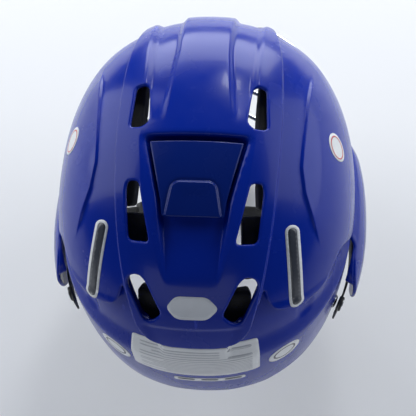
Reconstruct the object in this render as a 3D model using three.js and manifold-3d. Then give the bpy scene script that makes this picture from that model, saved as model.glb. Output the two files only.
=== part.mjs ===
// Ice hockey helmet: a two-piece shell with a crown latch, a foam liner and a hinged wire cage.
// Millimetres. +Z up, the face looks along -Y, the origin is the centre of the wearer's head.

import * as THREE from 'three';
import { mergeVertices } from 'three/addons/utils/BufferGeometryUtils.js';
import Module from 'manifold-3d';

const wasm = await Module();
wasm.setup();

// ---- driving dimensions ------------------------------------------------------------------

// Dome: a superellipsoid, longer behind than in front, and nearly straight-sided below the middle.
const HALF_WIDTH = 102;
const FRONT_LENGTH = 125;
const REAR_LENGTH = 127.5;
const CROWN_HEIGHT = 111.5;
const SKIRT_DEPTH = 200;
const SQUARENESS = 2.25;

// Chart on the dome: p runs across the head and q runs back over the crown, both in millimetres
// of arc measured on these two radii.
const ACROSS_RADIUS = 110;
const ALONG_RADIUS = 120;
const EDGE_OF_CHART = ACROSS_RADIUS * Math.PI / 2;

const FRONT_WALL = 2.8;
const REAR_WALL = 2.6;
const CLEARANCE = 0.3;

// Raised crown band: half-width over the crown and how much it narrows in front and behind.
const BAND_HALF_WIDTH = 52;
const BAND_FRONT_TAPER = 7;
const BAND_REAR_TAPER = 22;
const BAND_STEP = 3.2;
const BAND_FADE = 35;
const TAIL_Q = 157.5;

// Front channels either side of the centre ridge.
const CHANNEL_INNER = 17.5;
const CHANNEL_OUTER = 31;
const CHANNEL_DEPTH = 3;
const CHANNEL_END_Q = 13;

// Latch recess in the crown, and the lever that lies in it.
const RECESS_FRONT_Q = 19.5;
const RECESS_DEPTH = 8.8;
const RECESS_WALL = 2.3;
const RECESS_RAMP_Q = 75;
const RECESS_REAR_Q = 109;
const LEVER_FRONT_Q = 24;
const LEVER_REAR_Q = 71.5;
const LEVER_GAP = 2.4;
const LEVER_TOP = 0.8;
const LEVER_THICKNESS = 2;
const LATCH_PIN_Q = 26.5;
const LATCH_PIN_DROP = 4.3;
const LATCH_PIN_RADIUS = 1.1;
const LEVER_REAR_HALF_WIDTH = 16.5;
const THUMB_FRONT_Q = 50;
const THUMB_REAR_Q = 70;
const THUMB_HEIGHT = 1;
const BARREL_LENGTH = 6.6;
const BARREL_START = 3.6;
const CLAMP_Q = 48;
const CLAMP_HOLE_FRONT_Q = 41;
const CLAMP_HOLE_REAR_Q = 58;
const CLAMP_HOLE_HALF_WIDTH = 7;
const RECESS_BEND_Q = 62;

// Rear shell.
const REAR_OFFSET = -5.8;
const REAR_RAISED_OFFSET = -2.6;
const REAR_OUTER_OFFSET = -1;
const TONGUE_OFFSET = -12.2;
const TONGUE_HALF_WIDTH = 17;
const TONGUE_FRONT_Q = 30;

// Side arms of the front shell, which stand clear of the dome over the ears.
const ARM_FRONT_Y = -80;
const ARM_TIP_Y = 55;
const ARM_TOP_Z = 0;
const ARM_BOTTOM_Z = -48;
const ARM_STANDOFF = 11.5;
const ARM_LIP_FRONT_Y = -48;
const ARM_LIP_OFFSET = 1.6;
const ARM_LIP_THICKNESS = 2.4;
const SLIT_TOP_Z = 3.6;
const SLIT_FRONT_Y = -60;

// Wire cage.
const WIRE_RADIUS = 1.9;
const RIM_WIRE_RADIUS = 2.4;
const HINGE_Y = -134;
const HINGE_Z = 17;
const CAGE_BOTTOM_Z = -138;
const CAGE_WIDEST_Z = -30;
const CAGE_DEEPEST_Z = -60;
const CAGE_HALF_WIDTH = 108;
const CAGE_DEPTH = 157;
const BROW_CLIP_X = 30;

// ---- dome, chart and side surfaces ---------------------------------------------------------

const radians = THREE.MathUtils.degToRad;
const ramp = (value, low, high) => THREE.MathUtils.smoothstep(value, low, high);
const line = (value, low, high) => THREE.MathUtils.clamp((value - low) / (high - low), 0, 1);

function domeRadius(direction) {
  const length = direction.y > 0 ? REAR_LENGTH : FRONT_LENGTH;
  const height = direction.z > 0 ? CROWN_HEIGHT : SKIRT_DEPTH;
  const sum = Math.abs(direction.x / HALF_WIDTH) ** SQUARENESS
    + Math.abs(direction.y / length) ** SQUARENESS
    + Math.abs(direction.z / height) ** SQUARENESS;
  return sum ** (-1 / SQUARENESS);
}

function chartDirection(p, q) {
  const across = p / ACROSS_RADIUS;
  const along = q / ALONG_RADIUS;
  return new THREE.Vector3(
    Math.sin(across),
    Math.cos(across) * Math.sin(along),
    Math.cos(across) * Math.cos(along),
  );
}

function chartPoint(p, q, offset = 0) {
  const direction = chartDirection(p, q);
  return direction.multiplyScalar(domeRadius(direction) + offset);
}

// The dome's side wall as x over (y, z), moved out by an offset along the ray from the origin.
function sidePoint(y, z, offset = 0) {
  const length = y > 0 ? REAR_LENGTH : FRONT_LENGTH;
  const height = z > 0 ? CROWN_HEIGHT : SKIRT_DEPTH;
  const rest = 1 - Math.abs(y / length) ** SQUARENESS - Math.abs(z / height) ** SQUARENESS;
  const point = new THREE.Vector3(HALF_WIDTH * Math.max(rest, 0) ** (1 / SQUARENESS), y, z);
  return point.setLength(point.length() + offset);
}

function bandHalfWidth(q) {
  if (q < 0) return BAND_HALF_WIDTH - BAND_FRONT_TAPER * (Math.max(q, -120) / 85) ** 2;
  return BAND_HALF_WIDTH - BAND_REAR_TAPER * (Math.min(q, 165) / 150) ** 1.6;
}

function recessHalfWidth(q) {
  if (q < RECESS_BEND_Q) return 31 - 10.5 * line(q, RECESS_FRONT_Q, RECESS_BEND_Q);
  return 20.5 - 7 * line(q, RECESS_BEND_Q, RECESS_REAR_Q);
}

// Height of the recess floor over the dome: level under the lever, then rising flush behind it.
function recessFloor(q) {
  return BAND_STEP / 2 - RECESS_DEPTH * (1 - line(q, RECESS_RAMP_Q, RECESS_REAR_Q));
}

function channelDepth(p, q) {
  const size = Math.abs(p);
  const inside = line(size, CHANNEL_INNER - 4, CHANNEL_INNER)
    * (1 - line(size, CHANNEL_OUTER - 1, CHANNEL_OUTER + 3));
  return CHANNEL_DEPTH * inside * (1 - line(q, -15, CHANNEL_END_Q));
}

// Height of the front shell's outer face over the dome.
function frontRelief(p, q) {
  const size = Math.abs(p);
  const edge = bandHalfWidth(q);
  const raised = 1 - line(size, edge - 2.5, edge);
  const sunk = line(size, edge - 2.5, edge) * (1 - ramp(size, edge, edge + BAND_FADE));
  return BAND_STEP / 2 * (raised - sunk) - channelDepth(p, q);
}

// Height of the rear shell's outer face over the dome.
function rearRelief(p, q) {
  const size = Math.abs(p);
  const edge = bandHalfWidth(q) - 6;
  const raised = (1 - line(size, edge - 4, edge)) * line(q, 112, 124);
  const tongue = (1 - line(size, 22, 27)) * (1 - line(q, 106, 118));
  const open = ramp(q, TAIL_Q + 2, TAIL_Q + 20);
  const covered = REAR_OFFSET + (REAR_RAISED_OFFSET - REAR_OFFSET) * raised
    + (TONGUE_OFFSET - REAR_OFFSET) * tongue;
  return covered + (REAR_OUTER_OFFSET - covered) * open;
}

// ---- solids ----------------------------------------------------------------------------------

function solid(geometry) {
  const bare = geometry.clone();
  bare.deleteAttribute('normal');
  bare.deleteAttribute('uv');
  const merged = mergeVertices(bare, 1e-4);
  return new wasm.Manifold(new wasm.Mesh({
    numProp: 3,
    vertProperties: new Float32Array(merged.attributes.position.array),
    triVerts: new Uint32Array(merged.index.array),
  }));
}

function geometryOf(body) {
  const mesh = body.getMesh();
  const geometry = new THREE.BufferGeometry();
  geometry.setAttribute('position', new THREE.BufferAttribute(mesh.vertProperties, 3));
  geometry.setIndex(new THREE.BufferAttribute(mesh.triVerts, 1));
  geometry.computeVertexNormals();
  return geometry;
}

const union = (bodies) => bodies.reduce((sum, body) => sum.add(body));

function meshFrom(positions, triangles) {
  const geometry = new THREE.BufferGeometry();
  geometry.setAttribute('position', new THREE.Float32BufferAttribute(positions, 3));
  geometry.setIndex(triangles);
  return geometry;
}

// Lines of constant q on a dome solid, closer together where the crown has its features.
const ALONG_LINES = [
  -330, -270, -220, -190, -166, -143, -120, -96, -72, -48, -28, -15, 0, 13, 35, 60,
  85, 108, 121, 135, 149, 162, 178, 195, 215, 240, 285,
];

// Lines of constant p on one half of a dome solid. The inner ones follow the band's edge.
function acrossLines(q) {
  const edge = bandHalfWidth(q);
  const inner = [0.26, 0.34, 0.6, 0.66].map((part) => part * edge);
  const near = [edge - 2.5, edge, edge + 14, edge + 31];
  const far = [0.33, 0.67].map((part) => edge + 31 + part * (EDGE_OF_CHART - edge - 31));
  return [...inner, ...near, ...far];
}

// A closed dome-shaped solid whose outer face stands `heightAt(p, q)` over the dome.
function domeSolid(heightAt) {
  const positions = [];
  const triangles = [];
  const rows = ALONG_LINES.map((q) => {
    const half = acrossLines(q);
    const whole = [...half.map((p) => -p).reverse(), 0, ...half];
    return whole.map((p) => positions.push(...chartPoint(p, q, heightAt(p, q))) / 3 - 1);
  });
  const poles = [-1, 1].map((side) => {
    const height = heightAt(side * EDGE_OF_CHART, 0);
    return positions.push(side * (HALF_WIDTH + height), 0, 0) / 3 - 1;
  });
  rows.forEach((row, index) => {
    const next = rows[(index + 1) % rows.length];
    for (let i = 0; i + 1 < row.length; i += 1) {
      triangles.push(row[i], row[i + 1], next[i + 1], row[i], next[i + 1], next[i]);
    }
    triangles.push(poles[0], row[0], next[0]);
    triangles.push(poles[1], next[next.length - 1], row[row.length - 1]);
  });
  return solid(meshFrom(positions, triangles));
}

// A closed slab: `pointAt(s, t, face)` gives its outer face (1) and inner face (0) over a grid.
function slab(pointAt, rows, columns) {
  const positions = [];
  const triangles = [];
  const stride = columns + 1;
  for (const face of [1, 0]) {
    for (let i = 0; i <= rows; i += 1) {
      for (let j = 0; j <= columns; j += 1) positions.push(...pointAt(i / rows, j / columns, face));
    }
  }
  const layer = (rows + 1) * stride;
  for (let i = 0; i < rows; i += 1) {
    for (let j = 0; j < columns; j += 1) {
      const a = i * stride + j;
      const [b, c, d] = [a + 1, a + stride + 1, a + stride];
      triangles.push(a, b, c, a, c, d);
      triangles.push(a + layer, c + layer, b + layer, a + layer, d + layer, c + layer);
    }
  }
  const wall = (a, b) => triangles.push(a, a + layer, b + layer, a, b + layer, b);
  for (let j = 0; j < columns; j += 1) {
    wall(j, j + 1);
    wall(rows * stride + j + 1, rows * stride + j);
  }
  for (let i = 0; i < rows; i += 1) {
    wall((i + 1) * stride, i * stride);
    wall(i * stride + columns, (i + 1) * stride + columns);
  }
  return outward(meshFrom(positions, triangles));
}

// Turns a closed mesh right side out.
function outward(geometry) {
  const position = geometry.attributes.position;
  const index = geometry.index.array;
  const [a, b, c] = [new THREE.Vector3(), new THREE.Vector3(), new THREE.Vector3()];
  let volume = 0;
  for (let i = 0; i < index.length; i += 3) {
    a.fromBufferAttribute(position, index[i]);
    b.fromBufferAttribute(position, index[i + 1]);
    c.fromBufferAttribute(position, index[i + 2]);
    volume += a.dot(b.cross(c));
  }
  if (volume < 0) {
    for (let i = 0; i < index.length; i += 3) [index[i], index[i + 1]] = [index[i + 1], index[i]];
  }
  return geometry;
}

function mirrored(geometry) {
  const copy = geometry.index ? geometry.clone() : mergeVertices(geometry);
  copy.scale(-1, 1, 1);
  const index = copy.index.array;
  for (let i = 0; i < index.length; i += 3) [index[i], index[i + 1]] = [index[i + 1], index[i]];
  return copy;
}

// A prism whose outline is drawn on the chart and whose walls run along rays from the origin.
function chartPrism(outline, low, high) {
  const geometry = new THREE.ExtrudeGeometry(new THREE.Shape(outline), {
    depth: 1, steps: 1, bevelEnabled: false, curveSegments: 4,
  });
  const position = geometry.attributes.position;
  for (let i = 0; i < position.count; i += 1) {
    const offset = low + (high - low) * position.getZ(i);
    position.setXYZ(i, ...chartPoint(position.getX(i), position.getY(i), offset));
  }
  return solid(outward(mergeVertices(stripped(geometry), 1e-4)));
}

function stripped(geometry) {
  geometry.deleteAttribute('normal');
  geometry.deleteAttribute('uv');
  return geometry;
}

const flat = (points) => points.map(([x, y]) => new THREE.Vector2(x, y));

// A prism along X over an outline in the (y, z) plane.
function sidePrism(points, halfWidth, centre = 0) {
  const geometry = new THREE.ExtrudeGeometry(new THREE.Shape(flat(points)), {
    depth: 2 * halfWidth, steps: 1, bevelEnabled: false,
  });
  geometry.applyMatrix4(new THREE.Matrix4().makeBasis(
    new THREE.Vector3(0, 1, 0), new THREE.Vector3(0, 0, 1), new THREE.Vector3(1, 0, 0),
  ));
  geometry.translate(centre - halfWidth, 0, 0);
  return solid(geometry);
}

function box(low, high) {
  const size = high.map((value, axis) => value - low[axis]);
  const geometry = new THREE.BoxGeometry(...size);
  return solid(geometry.translate(...low.map((value, axis) => value + size[axis] / 2)));
}

// A cylinder between two points.
function rod(start, end, radius, sides = 12) {
  const axis = new THREE.Vector3().subVectors(end, start);
  const geometry = new THREE.CylinderGeometry(radius, radius, axis.length(), sides);
  const turn = new THREE.Quaternion().setFromUnitVectors(new THREE.Vector3(0, 1, 0), axis.clone().normalize());
  geometry.applyQuaternion(turn);
  return solid(geometry.translate(...new THREE.Vector3().addVectors(start, end).multiplyScalar(0.5)));
}

// A round wire through a list of points.
function wire(points, radius, steps, sides = 6) {
  const section = new THREE.Shape(Array.from({ length: sides }, (_, i) => {
    const angle = 2 * Math.PI * (i + 0.5) / sides;
    return new THREE.Vector2(radius * Math.cos(angle), radius * Math.sin(angle));
  }));
  const path = new THREE.CatmullRomCurve3(points, false, 'centripetal');
  return solid(new THREE.ExtrudeGeometry(section, { extrudePath: path, steps, bevelEnabled: false }));
}

const vector = (x, y, z) => new THREE.Vector3(x, y, z);

// ---- assembly helpers --------------------------------------------------------------------------

const helmet = new THREE.Group();

const FINISHES = {
  gloss_blue: [0x0f1f9a, 0.22, 0],
  lever_blue: [0x0a1766, 0.3, 0],
  black_foam: [0x17181b, 0.95, 0],
  comfort_foam: [0x2a2b30, 0.9, 0],
  rubber: [0x141416, 0.8, 0],
  black_plastic: [0x101114, 0.5, 0],
  clear_plastic: [0xd6e4ea, 0.1, 0],
  steel_wire: [0xb9bec4, 0.3, 1],
  screw_steel: [0x9a9ca0, 0.35, 1],
  webbing: [0x16171a, 0.9, 0],
};

const materials = Object.fromEntries(Object.entries(FINISHES).map(([name, [color, roughness, metalness]]) => (
  [name, new THREE.MeshStandardMaterial({ name, color, roughness, metalness, flatShading: true })]
)));

function addPart(name, shape, finish) {
  const mesh = new THREE.Mesh(shape.isBufferGeometry ? shape : geometryOf(shape), materials[finish]);
  mesh.name = name;
  helmet.add(mesh);
}

// Adds a left part, on the +X side, and its mirror image.
function addPair(name, shape, finish) {
  const geometry = shape.isBufferGeometry ? shape : geometryOf(shape);
  addPart(`${name}_left`, geometry, finish);
  addPart(`${name}_right`, mirrored(geometry), finish);
}

const bothSides = (body) => body.add(body.scale([-1, 1, 1]));

// ---- front shell ---------------------------------------------------------------------------

// Vent outlines on the left half of the chart.
const VENTS = {
  front: [[29, 9], [32, -21.5], [39.5, -21.5], [41, 12.5], [33, 13]],
  middle: [[22.5, 87], [31, 52], [33, 50.5], [38, 50.5], [38.5, 56], [34.5, 87]],
  rear: [[15.5, 130], [24, 110], [28, 106], [33, 108], [34.5, 113], [25.5, 136], [21, 136]],
};

const reversed = (outline) => outline.map(([p, q]) => [-p, q]).reverse();

function ventCutters(names) {
  return union(names.flatMap((name) => [VENTS[name], reversed(VENTS[name])])
    .map((outline) => chartPrism(flat(outline), -30, 12)));
}

// Everything behind the crown tail and behind the side panels' rear crests.
function rearEdgeCutter() {
  const tail = [
    [0, TAIL_Q], [14, TAIL_Q], [20, 155.5], [26, 150], [31, 141], [34.6, 131], [37.4, 121], [38.6, 117],
  ];
  const crest = [[40.5, 126], [44, 133.5], [52, 136.8], [64, 137.6], [75, 136.6], [84, 131.5], [91, 124.5]];
  const side = [[98, 117], [104, 114], [113, 118], [124.4, 128.2], [135, 139], [144.6, 151.4], [153, 163]];
  const left = [...tail, ...crest, ...side];
  const far = [[171, 176], [172.4, 260], [0, 300]];
  const half = [...left, ...far];
  return union([half, reversed(half)].map((outline) => chartPrism(flat(outline), -40, 300)));
}

// The slit over the ear starts at SLIT_FRONT_Y; ahead of it the panel runs down to the arm.
const FRONT_RIM = [
  [-150, 15], [-112, 14], [-101, 8], [-91, -8], [-82, -24], [-72, -36], [-60, -42],
  [SLIT_FRONT_Y, SLIT_TOP_Z], [150, SLIT_TOP_Z], [150, 150], [-150, 150],
];

// How far the arm's outer face stands off the dome.
function armStandoff(y, z) {
  const along = ramp(y, ARM_FRONT_Y + 6, -38);
  const down = 0.24 + 0.76 * Math.sin(Math.PI / 2 * line(z, 2, -22));
  const tuck = 1 - 0.22 * line(z, -28, ARM_BOTTOM_Z);
  return ARM_STANDOFF * along * down * tuck;
}

// The arm's rear end is rounded off: 0 along its length, rising to 1 at the tip.
function armEnd(y) {
  const part = (y - ARM_FRONT_Y) / (ARM_TIP_Y - ARM_FRONT_Y);
  const cut = Math.max(0, (part - 0.86) / 0.14);
  return 1 - Math.sqrt(Math.max(0, 1 - cut ** 2));
}

const armTop = (y) => THREE.MathUtils.lerp(ARM_TOP_Z, -13, armEnd(y));

function sideArm() {
  const wall = solid(slab((s, t, face) => {
    const y = THREE.MathUtils.lerp(ARM_FRONT_Y, ARM_TIP_Y, s);
    const frontBottom = THREE.MathUtils.lerp(-26, ARM_BOTTOM_Z, ramp(y, ARM_FRONT_Y, -35));
    const bottom = THREE.MathUtils.lerp(frontBottom, -34, armEnd(y));
    const z = THREE.MathUtils.lerp(armTop(y), bottom, t);
    return sidePoint(y, z, armStandoff(y, z) - (face ? 0 : FRONT_WALL));
  }, 16, 5));
  // The upper edge turns in towards the shell.
  const lip = solid(slab((s, t, face) => {
    const y = THREE.MathUtils.lerp(ARM_LIP_FRONT_Y, ARM_TIP_Y - 1, s);
    const z = armTop(y) - (face ? 0.2 : ARM_LIP_THICKNESS);
    const outer = armStandoff(y, z) - FRONT_WALL / 2;
    return sidePoint(y, z, THREE.MathUtils.lerp(ARM_LIP_OFFSET, Math.max(outer, ARM_LIP_OFFSET + 1), t));
  }, 14, 1));
  return wall.add(lip);
}

// Flat lands for the brow clips.
const BROW_LAND = { halfWidth: 7, y: -124, low: 13, high: 31 };
const BROW_SCREW_Z = 26;

function browLands(innerDome) {
  const { halfWidth, y, low, high } = BROW_LAND;
  const land = box([BROW_CLIP_X - halfWidth, y, low], [BROW_CLIP_X + halfWidth, y + 16, high]);
  return bothSides(land).subtract(innerDome);
}

const latchPin = () => {
  const point = chartPoint(0, LATCH_PIN_Q, -LATCH_PIN_DROP);
  return { y: point.y, z: point.z };
};

// Ears that carry the latch pin, standing on the recess floor.
function latchEars() {
  const { y, z } = latchPin();
  const ear = (x) => box([x, y - 1.75, z - 4.6], [x + 3, y + 2.7, z + 1.8]);
  const bore = rod(vector(-20, y, z), vector(20, y, z), LATCH_PIN_RADIUS + CLEARANCE);
  return union([ear(10.8), ear(-13.8)]).subtract(bore);
}

const SCREW_RADIUS = 1.8;
const SCREW_HOLE_RADIUS = 2.2;

// Axes of the left side's screws: a point on each by its height over the outer face there.
const browAxis = (depth) => vector(BROW_CLIP_X, BROW_LAND.y - depth, BROW_SCREW_Z);

function sideAxis(y, z, standoff) {
  const at = (dy, dz) => sidePoint(y + dy, z + dz, standoff);
  const back = new THREE.Vector3().subVectors(at(1, 0), at(-1, 0));
  const up = new THREE.Vector3().subVectors(at(0, 1), at(0, -1));
  const normal = new THREE.Vector3().crossVectors(back, up).normalize();
  return (depth) => at(0, 0).addScaledVector(normal, depth);
}

const hookAxis = sideAxis(-71, -13, 0);
const earAxis = sideAxis(-60, -30, 3.6);
const studAxis = sideAxis(66, -24, REAR_OUTER_OFFSET);

// The recess as a tray: its hollow, and a slightly larger block that the hollow is cut from.
function recessBlock(grow, top, lower) {
  const front = RECESS_FRONT_Q - grow;
  return solid(slab((s, t, face) => {
    const q = front + (RECESS_REAR_Q - front) * s;
    const p = (2 * t - 1) * (recessHalfWidth(q) + grow);
    return chartPoint(p, q, face ? top : recessFloor(q) - lower);
  }, 9, 4));
}

function frontShell() {
  const inner = domeSolid((p, q) => frontRelief(p, q) - FRONT_WALL);
  const hollow = recessBlock(0, 12, 0);
  const tray = recessBlock(RECESS_WALL, BAND_STEP / 2 - 0.05, RECESS_WALL).subtract(hollow);
  const dome = domeSolid(frontRelief).subtract(inner)
    .intersect(sidePrism(FRONT_RIM, 150))
    .subtract(rearEdgeCutter())
    .subtract(hollow)
    .add(tray);
  const clampHole = chartPrism(flat([
    [-CLAMP_HOLE_HALF_WIDTH, CLAMP_HOLE_FRONT_Q], [CLAMP_HOLE_HALF_WIDTH, CLAMP_HOLE_FRONT_Q],
    [CLAMP_HOLE_HALF_WIDTH, CLAMP_HOLE_REAR_Q], [-CLAMP_HOLE_HALF_WIDTH, CLAMP_HOLE_REAR_Q],
  ]), -14, 4);
  const screwHoles = union([browAxis, hookAxis, earAxis].map((axis) => (
    rod(axis(8), axis(-14), SCREW_HOLE_RADIUS, 8)
  )));
  return dome.add(bothSides(sideArm()))
    .add(browLands(inner))
    .subtract(ventCutters(Object.keys(VENTS)))
    .subtract(clampHole)
    .add(latchEars())
    .subtract(bothSides(screwHoles));
}

addPart('front_shell', frontShell(), 'gloss_blue');

// ---- latch --------------------------------------------------------------------------------

function leverHalfWidth(q) {
  return Math.max(recessHalfWidth(Math.min(q, RECESS_BEND_Q)) - LEVER_GAP, LEVER_REAR_HALF_WIDTH);
}

// A curved plate with a raised thumb pad near its rear edge and two hinge barrels in front.
function latchLever() {
  const plate = solid(slab((s, t, face) => {
    const q = THREE.MathUtils.lerp(LEVER_FRONT_Q, LEVER_REAR_Q, s);
    return chartPoint((2 * t - 1) * leverHalfWidth(q), q, LEVER_TOP - (face ? 0 : LEVER_THICKNESS));
  }, 9, 6));
  const pad = solid(slab((s, t, face) => {
    const q = THREE.MathUtils.lerp(THUMB_FRONT_Q, THUMB_REAR_Q, s);
    return chartPoint((2 * t - 1) * (11 + 3 * s), q, LEVER_TOP + (face ? THUMB_HEIGHT : -1));
  }, 4, 4));
  const { y, z } = latchPin();
  const barrel = rod(vector(BARREL_START, y, z), vector(BARREL_START + BARREL_LENGTH, y, z), 2.2)
    .add(box([BARREL_START, y - 1.8, z], [BARREL_START + BARREL_LENGTH, y + 1.8, z + 3]));
  return union([plate, pad, bothSides(barrel)])
    .subtract(rod(vector(-20, y, z), vector(20, y, z), LATCH_PIN_RADIUS + CLEARANCE));
}

// A small slab on the chart between two offsets.
function chartPad([p0, p1], [q0, q1], low, high, rows = 3, columns = 3) {
  return solid(slab((s, t, face) => (
    chartPoint(THREE.MathUtils.lerp(p0, p1, t), THREE.MathUtils.lerp(q0, q1, s), face ? high : low)
  ), rows, columns));
}

const pinEnd = (x) => vector(x, latchPin().y, latchPin().z);
addPart('latch_lever', latchLever(), 'lever_blue');
addPart('latch_pin', rod(pinEnd(-13.9), pinEnd(13.9), LATCH_PIN_RADIUS), 'screw_steel');
addPart('clamp_block', chartPad([-6, 6], [CLAMP_Q - 5, CLAMP_Q + 5], -9.2, -1.3), 'black_plastic');
addPart('clamp_pad', chartPad([-5.5, 5.5], [CLAMP_Q - 4.6, CLAMP_Q + 4.6], -10.5, -9.55), 'rubber');

// ---- rear shell ------------------------------------------------------------------------------

const REAR_RIM = [
  [31, -16], [42, -38], [60, -51], [150, -57], [150, 150], [-40, 150], [-40, -6], [14, -7], [24, -9],
];

// What the rear shell leaves open over the crown, beside its tongue and ahead of its side wings.
function crownCutters() {
  const beside = [
    [TONGUE_HALF_WIDTH, 20], [TONGUE_HALF_WIDTH, 86], [23, 96], [50, 96], [66, 84], [70, 40],
    [66, -60], [16, -60],
  ];
  const ahead = [[-30, -60], [30, -60], [30, TONGUE_FRONT_Q], [-30, TONGUE_FRONT_Q]];
  return union([beside, reversed(beside), ahead].map((outline) => chartPrism(flat(outline), -60, 60)));
}

function rearShell() {
  const vents = [[13, 131], [22, 108], [28, 103], [35, 106], [37, 114], [28, 139], [19, 139]];
  const cutters = union([vents, reversed(vents)].map((outline) => chartPrism(flat(outline), -30, 12)));
  return domeSolid(rearRelief).subtract(domeSolid((p, q) => rearRelief(p, q) - REAR_WALL))
    .intersect(sidePrism(REAR_RIM, 150))
    .subtract(crownCutters())
    .subtract(cutters)
    .subtract(bothSides(rod(studAxis(8), studAxis(-8), SCREW_HOLE_RADIUS, 8)));
}

// Ribbed strip on the tongue, which the clamp pad bears on.
function sizeStrip() {
  const ribs = Array.from({ length: 9 }, (_, i) => (
    chartPad([-5, 5], [36 + 3 * i, 37.5 + 3 * i], -11.4, -10.9, 1, 1)
  ));
  return union([chartPad([-6, 6], [34, 63], -11.9, -11.2, 5, 2), ...ribs]);
}

addPart('rear_shell', rearShell(), 'gloss_blue');
addPart('size_strip', sizeStrip(), 'black_plastic');

// ---- screws and snaps ------------------------------------------------------------------------

const HEAD_RADIUS = 3.6;
const HEAD_TOP = 2.1;
const NUT_END = 2.5;
const SEAT_GAP = 0.3;

// A screw along an axis: head over `seat`, shank down to a nut below `under`.
function screw(axis, seat, under, headRadius = HEAD_RADIUS) {
  return union([
    rod(axis(seat + HEAD_TOP), axis(seat + SEAT_GAP), headRadius),
    rod(axis(seat + HEAD_TOP - 1.5), axis(under - NUT_END + 0.2), SCREW_RADIUS, 8),
    rod(axis(under - SEAT_GAP - 0.1), axis(under - NUT_END), headRadius, 6),
  ]);
}

const CLIP_PLATE = 3;
const GUARD_OFFSET = -5;
const GUARD_THICKNESS = 2;

addPair('brow_clip_screw', screw(browAxis, CLIP_PLATE + CLEARANCE, -10.5), 'screw_steel');
addPair('side_hook_screw', screw(hookAxis, 3.9, -FRONT_WALL - 1.7, 3.2), 'screw_steel');
addPair('ear_guard_screw', screw(earAxis, 1.3, GUARD_OFFSET - GUARD_THICKNESS - 4.2), 'screw_steel');
addPair('snap_stud', screw(studAxis, -0.3, -REAR_WALL - 1.4, 4.6), 'screw_steel');

// ---- liner -----------------------------------------------------------------------------------

const nutPockets = bothSides(rod(browAxis(0), browAxis(-16), 5));
const foreheadPad = chartPad([-46, 46], [-162, -112], -18, -6.2, 5, 8);
addPart('forehead_liner', foreheadPad.subtract(nutPockets), 'black_foam');
addPart('brow_comfort_band', chartPad([-44, 44], [-160, -136], -22, -18.8, 3, 8), 'comfort_foam');
addPair('crown_liner', chartPad([4, 27], [-104, 14], -17, -6.2, 8, 2), 'black_foam');
addPair('front_side_liner', chartPad([46, 94], [-108, -81], -18, -6.8, 3, 4), 'black_foam');
addPair('crown_side_liner', chartPad([38, 60], [-44, 68], -17, -6.4, 8, 3), 'black_foam');
addPair('crown_rear_liner', chartPad([28.5, 46], [72, 115], -18, -10.4, 4, 2), 'black_foam');
addPair('side_liner', chartPad([76, 112], [-20, 94], -21, -10.6, 8, 3), 'black_foam');
// The rear pad runs forward, thinner, below the slope at the root of the tongue.
const rearPad = chartPad([-34, 34], [124, 162], -21, -10.4, 4, 6);
addPart('rear_liner', rearPad.add(chartPad([-26, 26], [101, 126], -21, -16, 2, 4)), 'black_foam');
addPair('rear_side_liner', chartPad([46, 94], [142, 188], -20, -10.8, 4, 5), 'black_foam');
addPart('nape_pad', chartPad([-40, 40], [180, 210], -17, -5.6, 3, 7), 'comfort_foam');
addPart('brow_bumper', chartPad([-15, 15], [-171, -160], 2.1, 4.4, 2, 4), 'rubber');

// ---- ear guards ------------------------------------------------------------------------------

// A clear plate behind the arm, with a round lower edge and a hole over the ear canal.
function earGuard() {
  const plate = solid(slab((s, t, face) => {
    const y = THREE.MathUtils.lerp(-64, 26, s);
    const belly = Math.sin(Math.PI * line(y, -80, 36)) ** 0.6;
    const z = THREE.MathUtils.lerp(-15, -18 - 54 * belly, t);
    return sidePoint(y, z, GUARD_OFFSET + (face ? 0 : -GUARD_THICKNESS));
  }, 10, 4));
  const port = rod(sidePoint(-14, -44, 20), sidePoint(-14, -44, -30), 8, 12);
  return plate.subtract(port).subtract(rod(earAxis(8), earAxis(-14), SCREW_HOLE_RADIUS, 8));
}

addPair('ear_guard', earGuard(), 'clear_plastic');

// ---- wire cage ---------------------------------------------------------------------------------

// The bulging surface that the cage's wires lie on, by angle from straight ahead and by height.
function cagePoint(degrees, z) {
  const depthLoss = (z > CAGE_DEEPEST_Z ? 0.0039 : 0.0064) * (z - CAGE_DEEPEST_Z) ** 2;
  const widthLoss = 0.005 * Math.min(z - CAGE_WIDEST_Z, 0) ** 2;
  const angle = radians(degrees);
  const halfWidth = CAGE_HALF_WIDTH - widthLoss;
  return vector(halfWidth * Math.sin(angle), -(CAGE_DEPTH - depthLoss) * Math.cos(angle), z);
}

// Half of the rim wire: the straight hinge bar, the corner at the temple, the cheek and the chin.
const CAGE_RIM = [
  vector(-3, HINGE_Y, HINGE_Z), vector(20, HINGE_Y, HINGE_Z), vector(38, HINGE_Y, HINGE_Z),
  vector(48, HINGE_Y + 5, HINGE_Z), vector(66, -113, 14), vector(83, -92, 5),
  vector(88, -84, -6), vector(88, -84, -20), vector(91, -77, -40), vector(92, -70, -60), vector(87, -67, -82),
  vector(75, -73, -106), vector(54, -92, -127), vector(28, -111, -137), vector(-3, -117, CAGE_BOTTOM_Z),
];
const rimCurve = new THREE.CatmullRomCurve3(CAGE_RIM, false, 'centripetal');
const RIM_SAMPLES = rimCurve.getSpacedPoints(400);

// The rim wire's point at a height on the side, or at a distance across on its top or bottom.
const rimAtHeight = (z) => RIM_SAMPLES.filter((point) => point.x > 40)
  .reduce((best, point) => (Math.abs(point.z - z) < Math.abs(best.z - z) ? point : best));
const rimAtWidth = (x, top) => RIM_SAMPLES.filter((point) => (top ? point.z > 0 : point.z < -90))
  .reduce((best, point) => (Math.abs(point.x - x) < Math.abs(best.x - x) ? point : best));

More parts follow.
